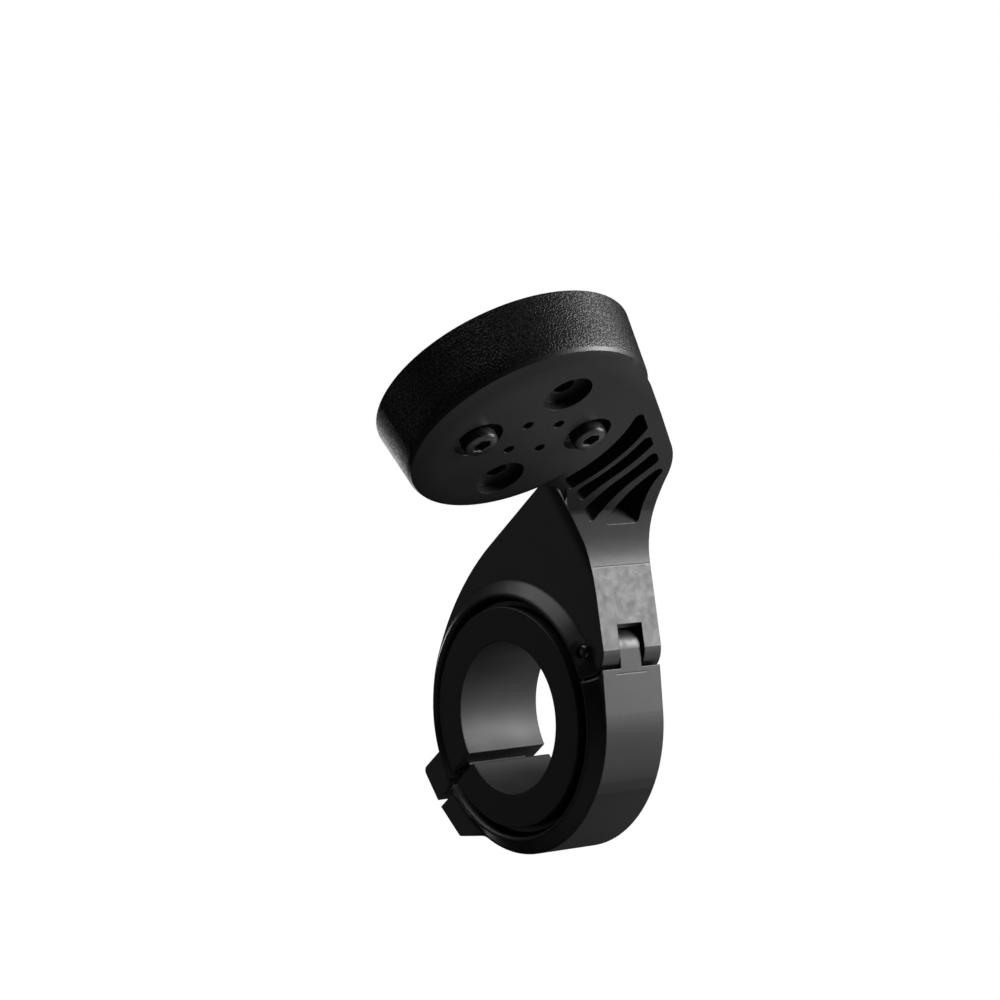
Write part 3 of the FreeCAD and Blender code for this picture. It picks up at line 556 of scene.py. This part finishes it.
@dataclass(frozen=True)
class ShimPlastic:
    """Softer black plastic of the ring between the clamp and the bar."""

    name: str = "shim_plastic"
    dark: Colour = (0.006, 0.006, 0.0062)
    light: Colour = (0.012, 0.012, 0.0125)
    refraction: float = 1.5
    edge_radius: float = 0.35
    clouds: Noise = Noise(0.15, 2.0)
    fine: Noise = Noise(4.0, 2.0)
    fine_depth: float = 0.006
    roughness: float = 0.52
    cloud_shine: float = 0.15

    def material(self) -> bpy.types.Material:
        """Builds the ring's nodes.

        Returns:
            The material.
        """
        graph = Graph(self.name)
        point = graph.place()
        fine = graph.noise(point, self.fine)
        clouds = graph.noise(point, self.clouds)
        return graph.shade(
            {
                "Base Color": graph.tint(clouds, self.dark, self.light),
                "Roughness": self.roughness + (clouds - NOISE_MEAN) * self.cloud_shine,
                "Normal": graph.raised(fine, self.fine_depth, graph.rounded(self.edge_radius)),
            },
            {"IOR": self.refraction},
        )


@dataclass(frozen=True)
class SeatPlastic:
    """Satin black plastic of the quarter-turn seat, rubbed shiny where a computer turns in it."""

    name: str = "seat_plastic"
    centre: Point = (30.7, 58.16)
    dark: Colour = (0.008, 0.008, 0.0084)
    light: Colour = (0.02, 0.02, 0.021)
    refraction: float = 1.5
    edge_radius: float = 0.15
    fine: Noise = Noise(4.5, 2.0)
    fine_depth: float = 0.008
    fine_shine: float = 0.1
    rubbing: Noise = Noise(1.0, 3.0, 0.7)
    rubbed_start: Step = Step(0.56, 0.1)
    rubbed_shine: float = 0.14
    rubbed_tint: float = 0.6
    rings_per_mm: float = 9.0
    roughness: float = 0.5

    def material(self) -> bpy.types.Material:
        """Builds the seat's nodes.

        Returns:
            The material.
        """
        graph = Graph(self.name)
        point = graph.place()
        across, along, _ = graph.axes(point)
        across = across - self.centre[0]
        along = along - self.centre[1]
        turned = {
            0: graph.length(across, along) * self.rings_per_mm,
            1: graph.math("ARCTAN2", along, across),
        }
        rings = graph.node("ShaderNodeCombineXYZ", inputs=turned)
        rubbed = graph.noise(rings, self.rubbing).above(self.rubbed_start)
        fine = graph.noise(point, self.fine)
        shine = self.roughness - rubbed * self.rubbed_shine + (fine - NOISE_MEAN) * self.fine_shine
        return graph.shade(
            {
                "Base Color": graph.tint(rubbed * self.rubbed_tint, self.dark, self.light),
                "Roughness": shine,
                "Normal": graph.raised(fine, self.fine_depth, graph.rounded(self.edge_radius)),
            },
            {"IOR": self.refraction},
        )


@dataclass(frozen=True)
class Metal:
    """A metal finish with fine tool marks and faint stains."""

    name: str
    dark: Colour
    light: Colour
    metallic: float
    roughness: float
    edge_radius: float = 0.06
    stains: Noise = Noise(0.6, 2.0)
    stain_tint: float = 0.7
    stain_shine: float = 0.16
    marks: Noise = Noise(3.0, 3.0, 0.65)
    marks_depth: float = 0.004
    marks_tint: float = 0.3
    marks_shine: float = 0.08

    def material(self) -> bpy.types.Material:
        """Builds the metal's nodes.

        Returns:
            The material.
        """
        graph = Graph(self.name)
        point = graph.place()
        marks = graph.noise(point, self.marks)
        stains = graph.noise(point, self.stains)
        tint = stains * self.stain_tint + marks * self.marks_tint
        shine = (stains - NOISE_MEAN) * self.stain_shine + (marks - NOISE_MEAN) * self.marks_shine
        return graph.shade(
            {
                "Base Color": graph.tint(tint, self.dark, self.light),
                "Roughness": self.roughness + shine,
                "Normal": graph.raised(marks, self.marks_depth, graph.rounded(self.edge_radius)),
            },
            {"Metallic": self.metallic},
        )


BLACK_OXIDE = Metal("black_oxide", (0.07, 0.07, 0.072), (0.16, 0.16, 0.163), 0.9, 0.3)
PIN_STEEL = Metal("pin_steel", (0.05, 0.05, 0.052), (0.13, 0.13, 0.135), 0.95, 0.32)
ZINC = Metal("zinc_plate", (0.38, 0.38, 0.39), (0.55, 0.55, 0.56), 1.0, 0.33)
BRASS = Metal("brass", (0.46, 0.31, 0.12), (0.68, 0.49, 0.22), 1.0, 0.3)


def as_object(name: str, mesh: BMesh) -> bpy.types.Object:
    """Turns a mesh under construction into an object of the scene.

    Args:
        name: The object's name.
        mesh: The mesh, which is freed.

    Returns:
        The object.
    """
    data = bpy.data.meshes.new(name)
    mesh.to_mesh(data)
    mesh.free()
    made = bpy.data.objects.new(name, data)
    bpy.context.scene.collection.objects.link(made)
    return made


def smooth(mesh: BMesh, creases: float) -> None:
    """Smooths the gentle edges of a mesh and keeps the others sharp.

    Args:
        mesh: The mesh.
        creases: The angle in degrees past which an edge stays sharp.
    """
    for face in mesh.faces:
        face.smooth = True
    for edge in mesh.edges:
        edge.smooth = edge.calc_face_angle(0.0) < math.radians(creases)


class Turned:
    """A shape grown ring by ring round the Z axis, in millimetres."""

    def __init__(self, segments: int, radius: float, height: float, capped: bool = True) -> None:
        """Starts with one ring.

        Args:
            segments: Points in each ring.
            radius: The first ring's radius.
            height: The first ring's height.
            capped: Whether a face closes the first ring.
        """
        self.segments = segments
        self.mesh = bmesh.new()
        bmesh.ops.create_circle(
            self.mesh,
            cap_ends=capped,
            segments=segments,
            radius=radius,
            matrix=Matrix.Translation((0.0, 0.0, height)),
        )
        self.rim: list[BMEdge] = list(self.mesh.edges)

    def to(self, height: float, radius: float | Outline) -> "Turned":
        """Grows the shape to a new ring.

        Args:
            height: The ring's height.
            radius: Its radius, or its radius at an angle.

        Returns:
            The shape itself.
        """
        grown = bmesh.ops.extrude_edge_only(self.mesh, edges=self.rim)["geom"]
        points = {item for item in grown if isinstance(item, BMVert)}
        edges = [item for item in grown if isinstance(item, BMEdge)]
        self.rim = [edge for edge in edges if all(end in points for end in edge.verts)]
        for point in points:
            angle = math.atan2(point.co.y, point.co.x)
            reach = radius(angle) if callable(radius) else radius
            point.co = Vector((reach * math.cos(angle), reach * math.sin(angle), height))
        return self

    def knurled(self, radius: float, depth: float) -> Outline:
        """The outline of a straight knurl.

        Args:
            radius: The radius over the ridges.
            depth: The depth of the grooves.

        Returns:
            The radius at an angle.
        """
        step = math.tau / self.segments

        def outline(angle: float) -> float:
            return radius - depth * (round(angle / step) % 2)

        return outline

    def close(self) -> "Turned":
        """Closes the last ring with a face."""
        bmesh.ops.edgeloop_fill(self.mesh, edges=self.rim)
        return self

    def join(self) -> "Turned":
        """Welds the last ring to the first."""
        bmesh.ops.remove_doubles(self.mesh, verts=self.mesh.verts, dist=RING_WELD)
        return self

    def piece(self, name: str, place: Matrix, creases: float = 32.0) -> bpy.types.Object:
        """Turns the shape into an object at the origin with its place in its mesh.

        Args:
            name: The object's name.
            place: Where the shape goes, in millimetres.
            creases: The angle in degrees past which an edge stays sharp.

        Returns:
            The object.
        """
        bmesh.ops.transform(self.mesh, matrix=Matrix.Scale(MM, 4) @ place, verts=self.mesh.verts)
        bmesh.ops.recalc_face_normals(self.mesh, faces=self.mesh.faces)
        smooth(self.mesh, creases)
        return as_object(name, self.mesh)


def hexagon(width: float) -> Outline:
    """The outline of a hexagon.

    Args:
        width: The distance across its flats.

    Returns:
        The radius at an angle.
    """
    sixth = math.tau / 6

    def outline(angle: float) -> float:
        return width / 2 / math.cos(angle % sixth - sixth / 2)

    return outline


@dataclass(frozen=True)
class Thread:
    """A metric screw thread on the Z axis."""

    major: float
    minor: float
    pitch: float
    rows: int = 12
    flank: float = 2.6
    root: float = 0.15

    def radius(self, height: float, gap: float = 0.0) -> Outline:
        """The thread's outline at a height.

        Args:
            height: The height.
            gap: What is added all round, for a mating thread.

        Returns:
            The radius at an angle.
        """
        depth = (self.major - self.minor) / 2

        def outline(angle: float) -> float:
            phase = (height / self.pitch - angle / math.tau) % 1.0
            wave = min(1.0, max(0.0, abs(phase - 0.5) * self.flank - self.root))
            return self.minor / 2 + gap + depth * wave

        return outline

    def heights(self, start: float, end: float) -> list[float]:
        """Heights of the rings from start to end, both counted."""
        count = max(2, round(abs(end - start) / self.pitch * self.rows))
        return [start + (end - start) * step / count for step in range(count + 1)]


@dataclass(frozen=True)
class CapScrew:
    """A socket screw with a knurled head, its axis up and its head's seat at height 0.

    The head's foot is rows of a height and how far the ring lies inside the rim there. Its crown
    is the same with how far the ring lies below the head's top.
    """

    thread: Thread
    head_diameter: float
    head_height: float
    hexagon_width: float
    hexagon_depth: float
    length: float
    plain: float
    segments: int = 60
    tip_ease: float = 0.25
    thread_lead: float = 0.3
    thread_end: float = 0.1
    foot: Rows = ((0.0, 0.2), (0.2, 0.05))
    knurl_depth: float = 0.11
    knurl_foot: float = 0.3
    knurl_top: float = 0.42
    crown: Rows = ((0.32, 0.06), (0.1, 0.22), (0.0, 0.42))
    mouth_ease: float = 0.12
    drill_depth: float = 0.25
    drill_tip: float = 0.12

    def shape(self) -> Turned:
        """Turns the screw from its tip to the floor of its socket.

        Returns:
            The closed shape.
        """
        thread, core, shank = self.thread, self.thread.minor / 2, self.thread.major / 2
        rim, top = self.head_diameter / 2, self.head_height
        made = Turned(self.segments, core - self.tip_ease, -self.length)
        made.to(-self.length + self.tip_ease, core)
        start, end = -self.length + self.thread_lead, -self.plain - self.thread_end
        for height in thread.heights(start, end):
            made.to(height, thread.radius(height))
        made.to(-self.plain, core)
        if self.plain:
            made.to(-self.plain, shank)
        made.to(0.0, shank)
        for height, inset in self.foot:
            made.to(height, rim - inset)
        ridge = made.knurled(rim, self.knurl_depth)
        made.to(self.knurl_foot, ridge).to(top - self.knurl_top, ridge)
        for drop, inset in self.crown:
            made.to(top - drop, rim - inset)
        flats = hexagon(self.hexagon_width)
        mouth = hexagon(self.hexagon_width + self.mouth_ease * 2)
        floor = top - self.hexagon_depth
        made.to(top, mouth).to(top - self.mouth_ease, flats).to(floor, flats)
        made.to(floor - self.drill_depth, self.drill_tip).close()
        return made


@dataclass
class HolderScrews:
    """The two screws under the holder and the threaded inserts that they hold in."""

    centre: Point = (30.7, 58.16)
    circle: float = 10.7
    seat: float = 17.7
    insert_top: float = 22.6
    insert_length: float = 3.0
    insert_diameter: float = 4.4
    insert_knurl: float = 0.16
    insert_groove: float = 0.28
    insert_waist: tuple[float, float] = (1.2, 1.7)
    insert_ease: float = 0.3
    end_rise: float = 0.15
    ridge_step: float = 0.05
    bore_gap: float = 0.05
    thread_gap: float = 0.03
    thread_end: float = 0.1
    segments: int = 48
    screw: CapScrew = field(
        default_factory=lambda: CapScrew(
            thread=Thread(major=3.0, minor=2.39, pitch=0.5),
            head_diameter=5.5,
            head_height=3.0,
            hexagon_width=2.5,
            hexagon_depth=1.4,
            length=4.8,
            plain=0.0,
        )
    )

    def place(self, side: int) -> Matrix:
        """Where a screw goes, its head down.

        Args:
            side: 1 for the screw at +X and -1 for the other.

        Returns:
            The place in millimetres.
        """
        middle = Vector((self.centre[0] + side * self.circle, self.centre[1], self.seat))
        return Matrix.Translation(middle) @ Matrix.Rotation(math.pi, 4, "X")

    def insert(self) -> Turned:
        """Turns a threaded insert round the screw's axis.

        Returns:
            The closed tube.
        """
        thread, rim = self.screw.thread, self.insert_diameter / 2
        low = self.seat - self.insert_top
        high = low + self.insert_length
        bore = thread.major / 2 + self.bore_gap
        root, groove, end = (
            rim - inset for inset in (self.insert_knurl, self.insert_groove, self.insert_ease)
        )
        rise, step = self.end_rise, self.ridge_step
        first, second = (low + place for place in self.insert_waist)
        made = Turned(self.segments, bore, low, capped=False)
        ridge = made.knurled(rim, self.insert_knurl)
        made.to(low, end).to(low + rise, root).to(low + rise + step, ridge)
        made.to(first - step, ridge).to(first, groove).to(second, groove).to(second + step, ridge)
        made.to(high - rise - step, ridge).to(high - rise, root).to(high, end).to(high, bore)
        for height in thread.heights(high - self.thread_end, low + self.thread_end):
            made.to(height, thread.radius(height, self.thread_gap))
        made.to(low, bore)
        return made.join()

    def build(self) -> list[bpy.types.Object]:
        """Builds and dresses the screws and inserts.

        Returns:
            The four pieces.
        """
        black, brass = BLACK_OXIDE.material(), BRASS.material()
        pieces = []
        for side, word in ((1, "right"), (-1, "left")):
            screw = self.screw.shape().piece(f"holder_screw_{word}", self.place(side))
            dress(screw, black, Body.ARM, Slot.SCREW, f"insert_screw_{word}")
            insert = self.insert().piece(f"threaded_insert_{word}", self.place(side))
            dress(insert, brass, Body.ARM, Slot.BRASS, f"insert_nut_{word}")
            pieces += [screw, insert]
        return pieces


@dataclass
class ClampBolt:
    """The bolt through the rear lugs and its captive nut."""

    reach: float = 22.0
    seat: float = 7.0
    nut_drop: float = 5.1
    nut_width: float = 7.0
    nut_height: float = 3.2
    corner_rises: tuple[float, ...] = (0.0, 0.15, 0.3)
    corner_inset: float = 0.1
    corner_slope: float = 1.9
    bore_gap: float = 0.06
    thread_gap: float = 0.05
    thread_end: float = 0.25
    segments: int = 60
    bolt: CapScrew = field(
        default_factory=lambda: CapScrew(
            thread=Thread(major=4.0, minor=3.24, pitch=0.7),
            head_diameter=7.0,
            head_height=4.0,
            hexagon_width=3.0,
            hexagon_depth=2.0,
            length=15.4,
            plain=6.2,
        )
    )

    def place(self) -> Matrix:
        """Where the bolt goes, its head up."""
        return Matrix.Translation(Vector((0.0, -self.reach, self.seat)))

    def nut(self) -> Turned:
        """Turns the nut round the bolt's axis.

        Returns:
            The closed tube.
        """
        thread = self.bolt.thread
        bore = thread.major / 2 + self.bore_gap
        top = -self.nut_drop - self.seat
        low = top - self.nut_height
        flats = hexagon(self.nut_width)
        made = Turned(self.segments, bore, low, capped=False)
        lower = [(low + rise, rise) for rise in self.corner_rises]
        upper = [(top - rise, rise) for rise in reversed(self.corner_rises)]
        for height, rise in lower + upper:
            most = self.nut_width / 2 - self.corner_inset + rise * self.corner_slope
            made.to(height, self.eased(flats, most))
        made.to(top, bore)
        for height in thread.heights(top - self.thread_end, low + self.thread_end):
            made.to(height, thread.radius(height, self.thread_gap))
        made.to(low, bore)
        return made.join()

    def eased(self, flats: Outline, most: float) -> Outline:
        """An outline with its corners turned down.

        Args:
            flats: The full outline.
            most: The largest radius left.

        Returns:
            The radius at an angle.
        """
        return lambda angle: min(flats(angle), most)

    def build(self) -> list[bpy.types.Object]:
        """Builds and dresses the bolt and its nut.

        Returns:
            The two pieces.
        """
        bolt = self.bolt.shape().piece("clamping_bolt", self.place())
        dress(bolt, BLACK_OXIDE.material(), Body.ARM, Slot.SCREW, "clamp_bolt")
        nut = self.nut().piece("captive_nut", self.place())
        dress(nut, ZINC.material(), Body.LOWER, Slot.SCREW, "clamp_nut")
        return [bolt, nut]


@dataclass(frozen=True)
class CollarPatch:
    """The stretch of a collar round the end of the hinge pin, with the pin's mouth left open.

    The sign is 1 for the side at +X and -1 for the other.
    """

    sign: int
    pin: Point = (21.96, -1.72)
    mouth: float = 1.16
    reach: float = 2.56
    land: float = 6.95
    land_reach: float = 2.4
    land_share: float = 0.2
    sunk: float = 5.95
    profile: Rows = ((19.3, 6.16), (20.2, 8.0), (20.6, 8.0), (22.8, 6.16))
    knuckle: float = 4.22
    split: float = -3.98
    lower_span: tuple[float, float] = (18.7, 22.7)
    rings: int = 12
    spokes: int = 72
    columns: int = 36

    def height(self, y: float, z: float) -> float:
        """How far the collar stands out at a point.

        Args:
            y: The point's Y.
            z: The point's Z.

        Returns:
            The collar's X there.
        """
        reach = math.hypot(y, z)
        level = self.profile[0][1]
        for (near, low), (far, high) in zip(self.profile, self.profile[1:]):
            if near <= reach <= far:
                level = low + (high - low) * (reach - near) / (far - near)
        spread = math.hypot(y - self.pin[0], z - self.pin[1])
        ease = (self.land_reach - spread) / (self.land_reach - self.mouth)
        ease = min(max(ease, 0.0), 1.0)
        rise = (self.land - level) * self.land_share
        return level + rise * ease * ease * (3.0 - 2.0 * ease)

    def pair(self, mesh: BMesh, y: float, z: float) -> Pair:
        """Sets a point on the collar's face and one below it at the patch's foot.

        Args:
            mesh: The patch.
            y: The points' Y.
            z: The points' Z.

        Returns:
            Both points.
        """
        top = mesh.verts.new(Vector((self.sign * self.height(y, z), y, z)) * MM)
        foot = mesh.verts.new(Vector((self.sign * self.sunk, y, z)) * MM)
        return top, foot

    def cover(self, mesh: BMesh, *corners: Pair) -> None:
        """Spans the face and the foot between four pairs.

        Args:
            mesh: The patch.
            corners: The pairs in turn.
        """
        for level in zip(*corners):
            mesh.faces.new(level)

    def wall(self, mesh: BMesh, first: Pair, second: Pair) -> None:
        """Spans the wall between two pairs.

        Args:
            mesh: The patch.
            first: A pair.
            second: Its neighbour.
        """
        mesh.faces.new([first[0], second[0], second[1], first[1]])

    def round_pin(self) -> bpy.types.Object:
        """Builds the patch round the pin.

        Returns:
            The closed patch.
        """
        mesh = bmesh.new()
        angles = [math.tau * spoke / self.spokes for spoke in range(self.spokes)]
        rows = []
        for ring in range(self.rings + 1):
            spread = self.mouth + (self.reach - self.mouth) * ring / self.rings
            row = []
            for angle in angles:
                y = self.pin[0] + spread * math.cos(angle)
                z = self.pin[1] + spread * math.sin(angle)
                row.append(self.pair(mesh, y, z))
            rows.append(row)
        for spoke in range(self.spokes):
            after = (spoke + 1) % self.spokes
            for inner, outer in zip(rows, rows[1:]):
                self.cover(mesh, inner[spoke], outer[spoke], outer[after], inner[after])
            for row in (rows[0], rows[-1]):
                self.wall(mesh, row[spoke], row[after])
        return self.closed(mesh)

    def under_pin(self) -> bpy.types.Object:
        """Builds the patch between the knuckle's lower arc and the split of the halves.

        Returns:
            The closed patch.
        """
        mesh = bmesh.new()
        first, last = self.lower_span
        rows = []
        for column in range(self.columns + 1):
            y = first + (last - first) * column / self.columns
            rise = self.pin[1] - math.sqrt(self.knuckle**2 - (y - self.pin[0]) ** 2) - self.split
            heights = [self.split + rise * part / self.rings for part in range(self.rings + 1)]
            rows.append([self.pair(mesh, y, z) for z in heights])
        for near, far in zip(rows, rows[1:]):
            for part in range(self.rings):
                self.cover(mesh, near[part], far[part], far[part + 1], near[part + 1])
            for part in (0, self.rings):
                self.wall(mesh, near[part], far[part])
        for row in (rows[0], rows[-1]):
            for lower, upper in zip(row, row[1:]):
                self.wall(mesh, lower, upper)
        return self.closed(mesh)

    def closed(self, mesh: BMesh) -> bpy.types.Object:
        """Turns a closed patch into an object.

        Args:
            mesh: The patch, which is freed.

        Returns:
            The object.
        """
        bmesh.ops.recalc_face_normals(mesh, faces=mesh.faces)
        return as_object("collar_patch", mesh)


@dataclass(frozen=True)
class ArmMoulding:
    """The arm's moulding with its collars run on round the hinge pin."""

    name: str = "arm_moulding"
    weld: float = 0.002
    crease: float = 30.0

    def build(self, node: bpy.types.Object, material: bpy.types.Material) -> bpy.types.Object:
        """Copies the node and joins the patches to it.

        Args:
            node: The frame's arm.
            material: The plastic.

        Returns:
            The finished moulding.
        """
        mesh = bmesh.new()
        mesh.from_mesh(node.data)
        bmesh.ops.remove_doubles(mesh, verts=mesh.verts, dist=self.weld * MM)
        made = as_object(self.name, mesh)
        sides = CollarPatch(1), CollarPatch(-1)
        for patch in [make() for side in sides for make in (side.round_pin, side.under_pin)]:
            join = made.modifiers.new("join", "BOOLEAN")
            join.operation = "UNION"
            join.solver = "EXACT"
            join.object = patch
            joined = bpy.data.meshes.new_from_object(
                made.evaluated_get(bpy.context.evaluated_depsgraph_get())
            )
            made.modifiers.clear()
            made.data = joined
            bpy.data.objects.remove(patch)
        self.sharpen(made.data)
        made.data.materials.clear()
        dress(made, material, Body.ARM, Slot.MOULDED, node.name)
        return made

    def sharpen(self, data: bpy.types.Mesh) -> None:
        """Smooths the gentle edges and keeps the others sharp.

        Args:
            data: The moulding's mesh.
        """
        mesh = bmesh.new()
        mesh.from_mesh(data)
        bmesh.ops.remove_doubles(mesh, verts=mesh.verts, dist=self.weld * MM)
        smooth(mesh, self.crease)
        mesh.to_mesh(data)
        mesh.free()


@dataclass(frozen=True)
class HingePin:
    """The hinge pin with its domed ends."""

    pin: Point = (21.96, -1.72)
    radius: float = 1.1
    half_length: float = 7.25
    dome: float = 0.42
    flat: float = 0.15
    rows: int = 6
    segments: int = 48

    def build(self) -> bpy.types.Object:
        """Turns and dresses the pin.

        Returns:
            The pin.
        """
        core = self.half_length - self.dome
        steps = [math.pi / 2 * row / self.rows for row in range(1, self.rows + 1)]
        made = Turned(self.segments, self.flat, -self.half_length)
        for angle in steps:
            made.to(-core - self.dome * math.cos(angle), self.radius * math.sin(angle))
        for angle in reversed(steps):
            made.to(core + self.dome * math.cos(angle), self.radius * math.sin(angle))
        made.to(self.half_length, self.flat).close()
        place = Matrix.Translation(Vector((0.0, *self.pin))) @ Matrix.Rotation(math.pi / 2, 4, "Y")
        pin = made.piece("domed_hinge_pin", place)
        dress(pin, PIN_STEEL.material(), Body.ARM, Slot.PIN, "hinge_pin")
        return pin


@dataclass
class Mouldings:
    """The moulded halves, the ring and the seat."""

    nodes: dict[str, bpy.types.Object]

    def paint(self, material: bpy.types.Material, *names: str) -> None:
        """Gives frame nodes their material.

        Args:
            material: The material.
            names: The nodes.
        """
        for name in names:
            node = self.nodes[name]
            node.data.materials.clear()
            node.data.materials.append(material)
            LOG.info("%s wears %s", name, material.name)

    def build(self) -> None:
        """Dresses the plastic pieces."""
        plastic = MouldedPlastic().material()
        self.paint(plastic, "lower_clamp")
        ArmMoulding().build(self.nodes["mount_arm"], plastic)
        self.paint(ShimPlastic().material(), "bar_shim")
        self.paint(SeatPlastic().material(), "quarter_turn_insert")


def dress(
    piece: bpy.types.Object, material: bpy.types.Material, body: Body, slot: Slot, node: str
) -> None:
    """Gives a new piece its material, its body and the node that it stands for.

    Args:
        piece: The piece.
        material: Its material.
        body: The body that it moves with.
        slot: The record's slot of its finish; not used.
        node: The node that it stands for.
    """
    piece.data.materials.append(material)
    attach(piece, body.value)
    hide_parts(node)
    LOG.info("%s stands for %s", piece.name, node)


@dataclass(frozen=True)
class SoftLight:
    """A square softbox that points at the mount."""

    name: str
    towards: Direction
    power: float
    distance: float = 0.9
    size: float = 0.4

    def build(self, aim: Vector) -> None:
        """Hangs the softbox.

        Args:
            aim: The point that it lights.
        """
        data = bpy.data.lights.new(self.name, "AREA")
        data.shape = "SQUARE"
        data.size = self.size
        data.energy = self.power
        lamp = bpy.data.objects.new(self.name, data)
        direction = Vector(self.towards).normalized()
        lamp.location = aim + direction * self.distance
        lamp.rotation_mode = "QUATERNION"
        lamp.rotation_quaternion = direction.to_track_quat("Z", "Y")
        lamp.visible_camera = False
        bpy.context.scene.collection.objects.link(lamp)


@dataclass(frozen=True)
class Viewpoint:
    """The camera, below and in front of the mount. Its place is in millimetres."""

    place: Direction = (357.016, 389.241, -214.374)
    right: Direction = (-0.78264742, 0.47995043, -0.39637179)
    down: Direction = (0.05138144, -0.58479173, -0.80955456)
    ahead: Direction = (-0.620341, -0.65396194, 0.4330252)
    focal_pixels: float = 3393.35
    image_pixels: float = 1000.0
    sensor: float = 36.0
    nearest: float = 0.01
    farthest: float = 30.0

    def build(self) -> None:
        """Makes the camera and makes it the scene's."""
        data = bpy.data.cameras.new("camera")
        data.sensor_width = self.sensor
        data.lens = self.focal_pixels / self.image_pixels * self.sensor
        data.clip_start = self.nearest
        data.clip_end = self.farthest
        data.dof.use_dof = False
        camera = bpy.data.objects.new("camera", data)
        turn = Matrix((self.right, -Vector(self.down), -Vector(self.ahead))).transposed()
        camera.matrix_world = Matrix.Translation(Vector(self.place) * MM) @ turn.to_4x4()
        bpy.context.scene.collection.objects.link(camera)
        bpy.context.scene.camera = camera


@dataclass
class Studio:
    """A white room with a pale floor far below the mount."""

    floor_height: float = -1.2
    floor_size: float = 12.0
    mottle: Noise = Noise(0.004, 2.0)
    dark: Colour = (0.78, 0.78, 0.78)
    light: Colour = (0.82, 0.82, 0.82)
    roughness: float = 0.9
    fill: float = 0.006
    aim: Direction = (0.012, 0.03, 0.005)
    lights: tuple[SoftLight, ...] = (
        SoftLight("key", (-0.68, 0.73, -0.11), 9.4),
        SoftLight("key_low", (-0.83, 0.43, -0.36), 1.6),
        SoftLight("key_high", (-0.83, 0.46, 0.3), 1.8),
        SoftLight("under", (-0.79, 0.1, -0.61), 0.78),
        SoftLight("under_rear", (-0.76, -0.48, -0.45), 0.22),
        SoftLight("top", (0.25, 0.08, 0.96), 1.6),
        SoftLight("front_top", (0.45, 0.46, 0.77), 1.7),
        SoftLight("below", (-0.13, -0.28, -0.95), 0.12),
        SoftLight("left", (0.64, -0.64, 0.42), 0.1),
        SoftLight("rear", (-0.35, -0.84, 0.42), 1.2),
    )

    def floor(self) -> None:
        """Lays the floor, which isn't part of the mount."""
        shape = bmesh.new()
        bmesh.ops.create_grid(
            shape,
            x_segments=1,
            y_segments=1,
            size=self.floor_size / 2,
            matrix=Matrix.Translation((0.0, 0.0, self.floor_height)),
        )
        floor = as_object("floor", shape)
        graph = Graph("floor_paper")
        paper = graph.tint(graph.noise(graph.place(), self.mottle), self.dark, self.light)
        material = graph.shade({"Base Color": paper}, {"Roughness": self.roughness})
        floor.data.materials.append(material)

    def air(self) -> None:
        """Makes the backdrop white and the light from all round dim."""
        world = bpy.data.worlds.new("room")
        bpy.context.scene.world = world
        world.use_nodes = True
        tree = world.node_tree
        tree.nodes.clear()
        seen = tree.nodes.new("ShaderNodeLightPath")
        white = tree.nodes.new("ShaderNodeBackground")
        white.inputs["Color"].default_value = (1.0, 1.0, 1.0, 1.0)
        dim = tree.nodes.new("ShaderNodeBackground")
        dim.inputs["Color"].default_value = (self.fill, self.fill, self.fill, 1.0)
        mix = tree.nodes.new("ShaderNodeMixShader")
        out = tree.nodes.new("ShaderNodeOutputWorld")
        tree.links.new(seen.outputs["Is Camera Ray"], mix.inputs[0])
        tree.links.new(dim.outputs[0], mix.inputs[1])
        tree.links.new(white.outputs[0], mix.inputs[2])
        tree.links.new(mix.outputs[0], out.inputs["Surface"])

    def build(self) -> None:
        """Sets up the floor, the light and the camera."""
        self.floor()
        self.air()
        for light in self.lights:
            light.build(Vector(self.aim))
        Viewpoint().build()
        view = bpy.context.scene.view_settings
        view.view_transform = "Standard"
        view.look = "None"


def main() -> None:
    """Builds the mount's looks in order."""
    logging.basicConfig(level=logging.INFO, format="%(message)s")
    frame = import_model()
    Mouldings(frame["nodes"]).build()
    for piece in HolderScrews().build() + ClampBolt().build() + [HingePin().build()]:
        LOG.info("%s has %d faces", piece.name, len(piece.data.polygons))
    Studio().build()


if __name__ == "__main__":
    main()
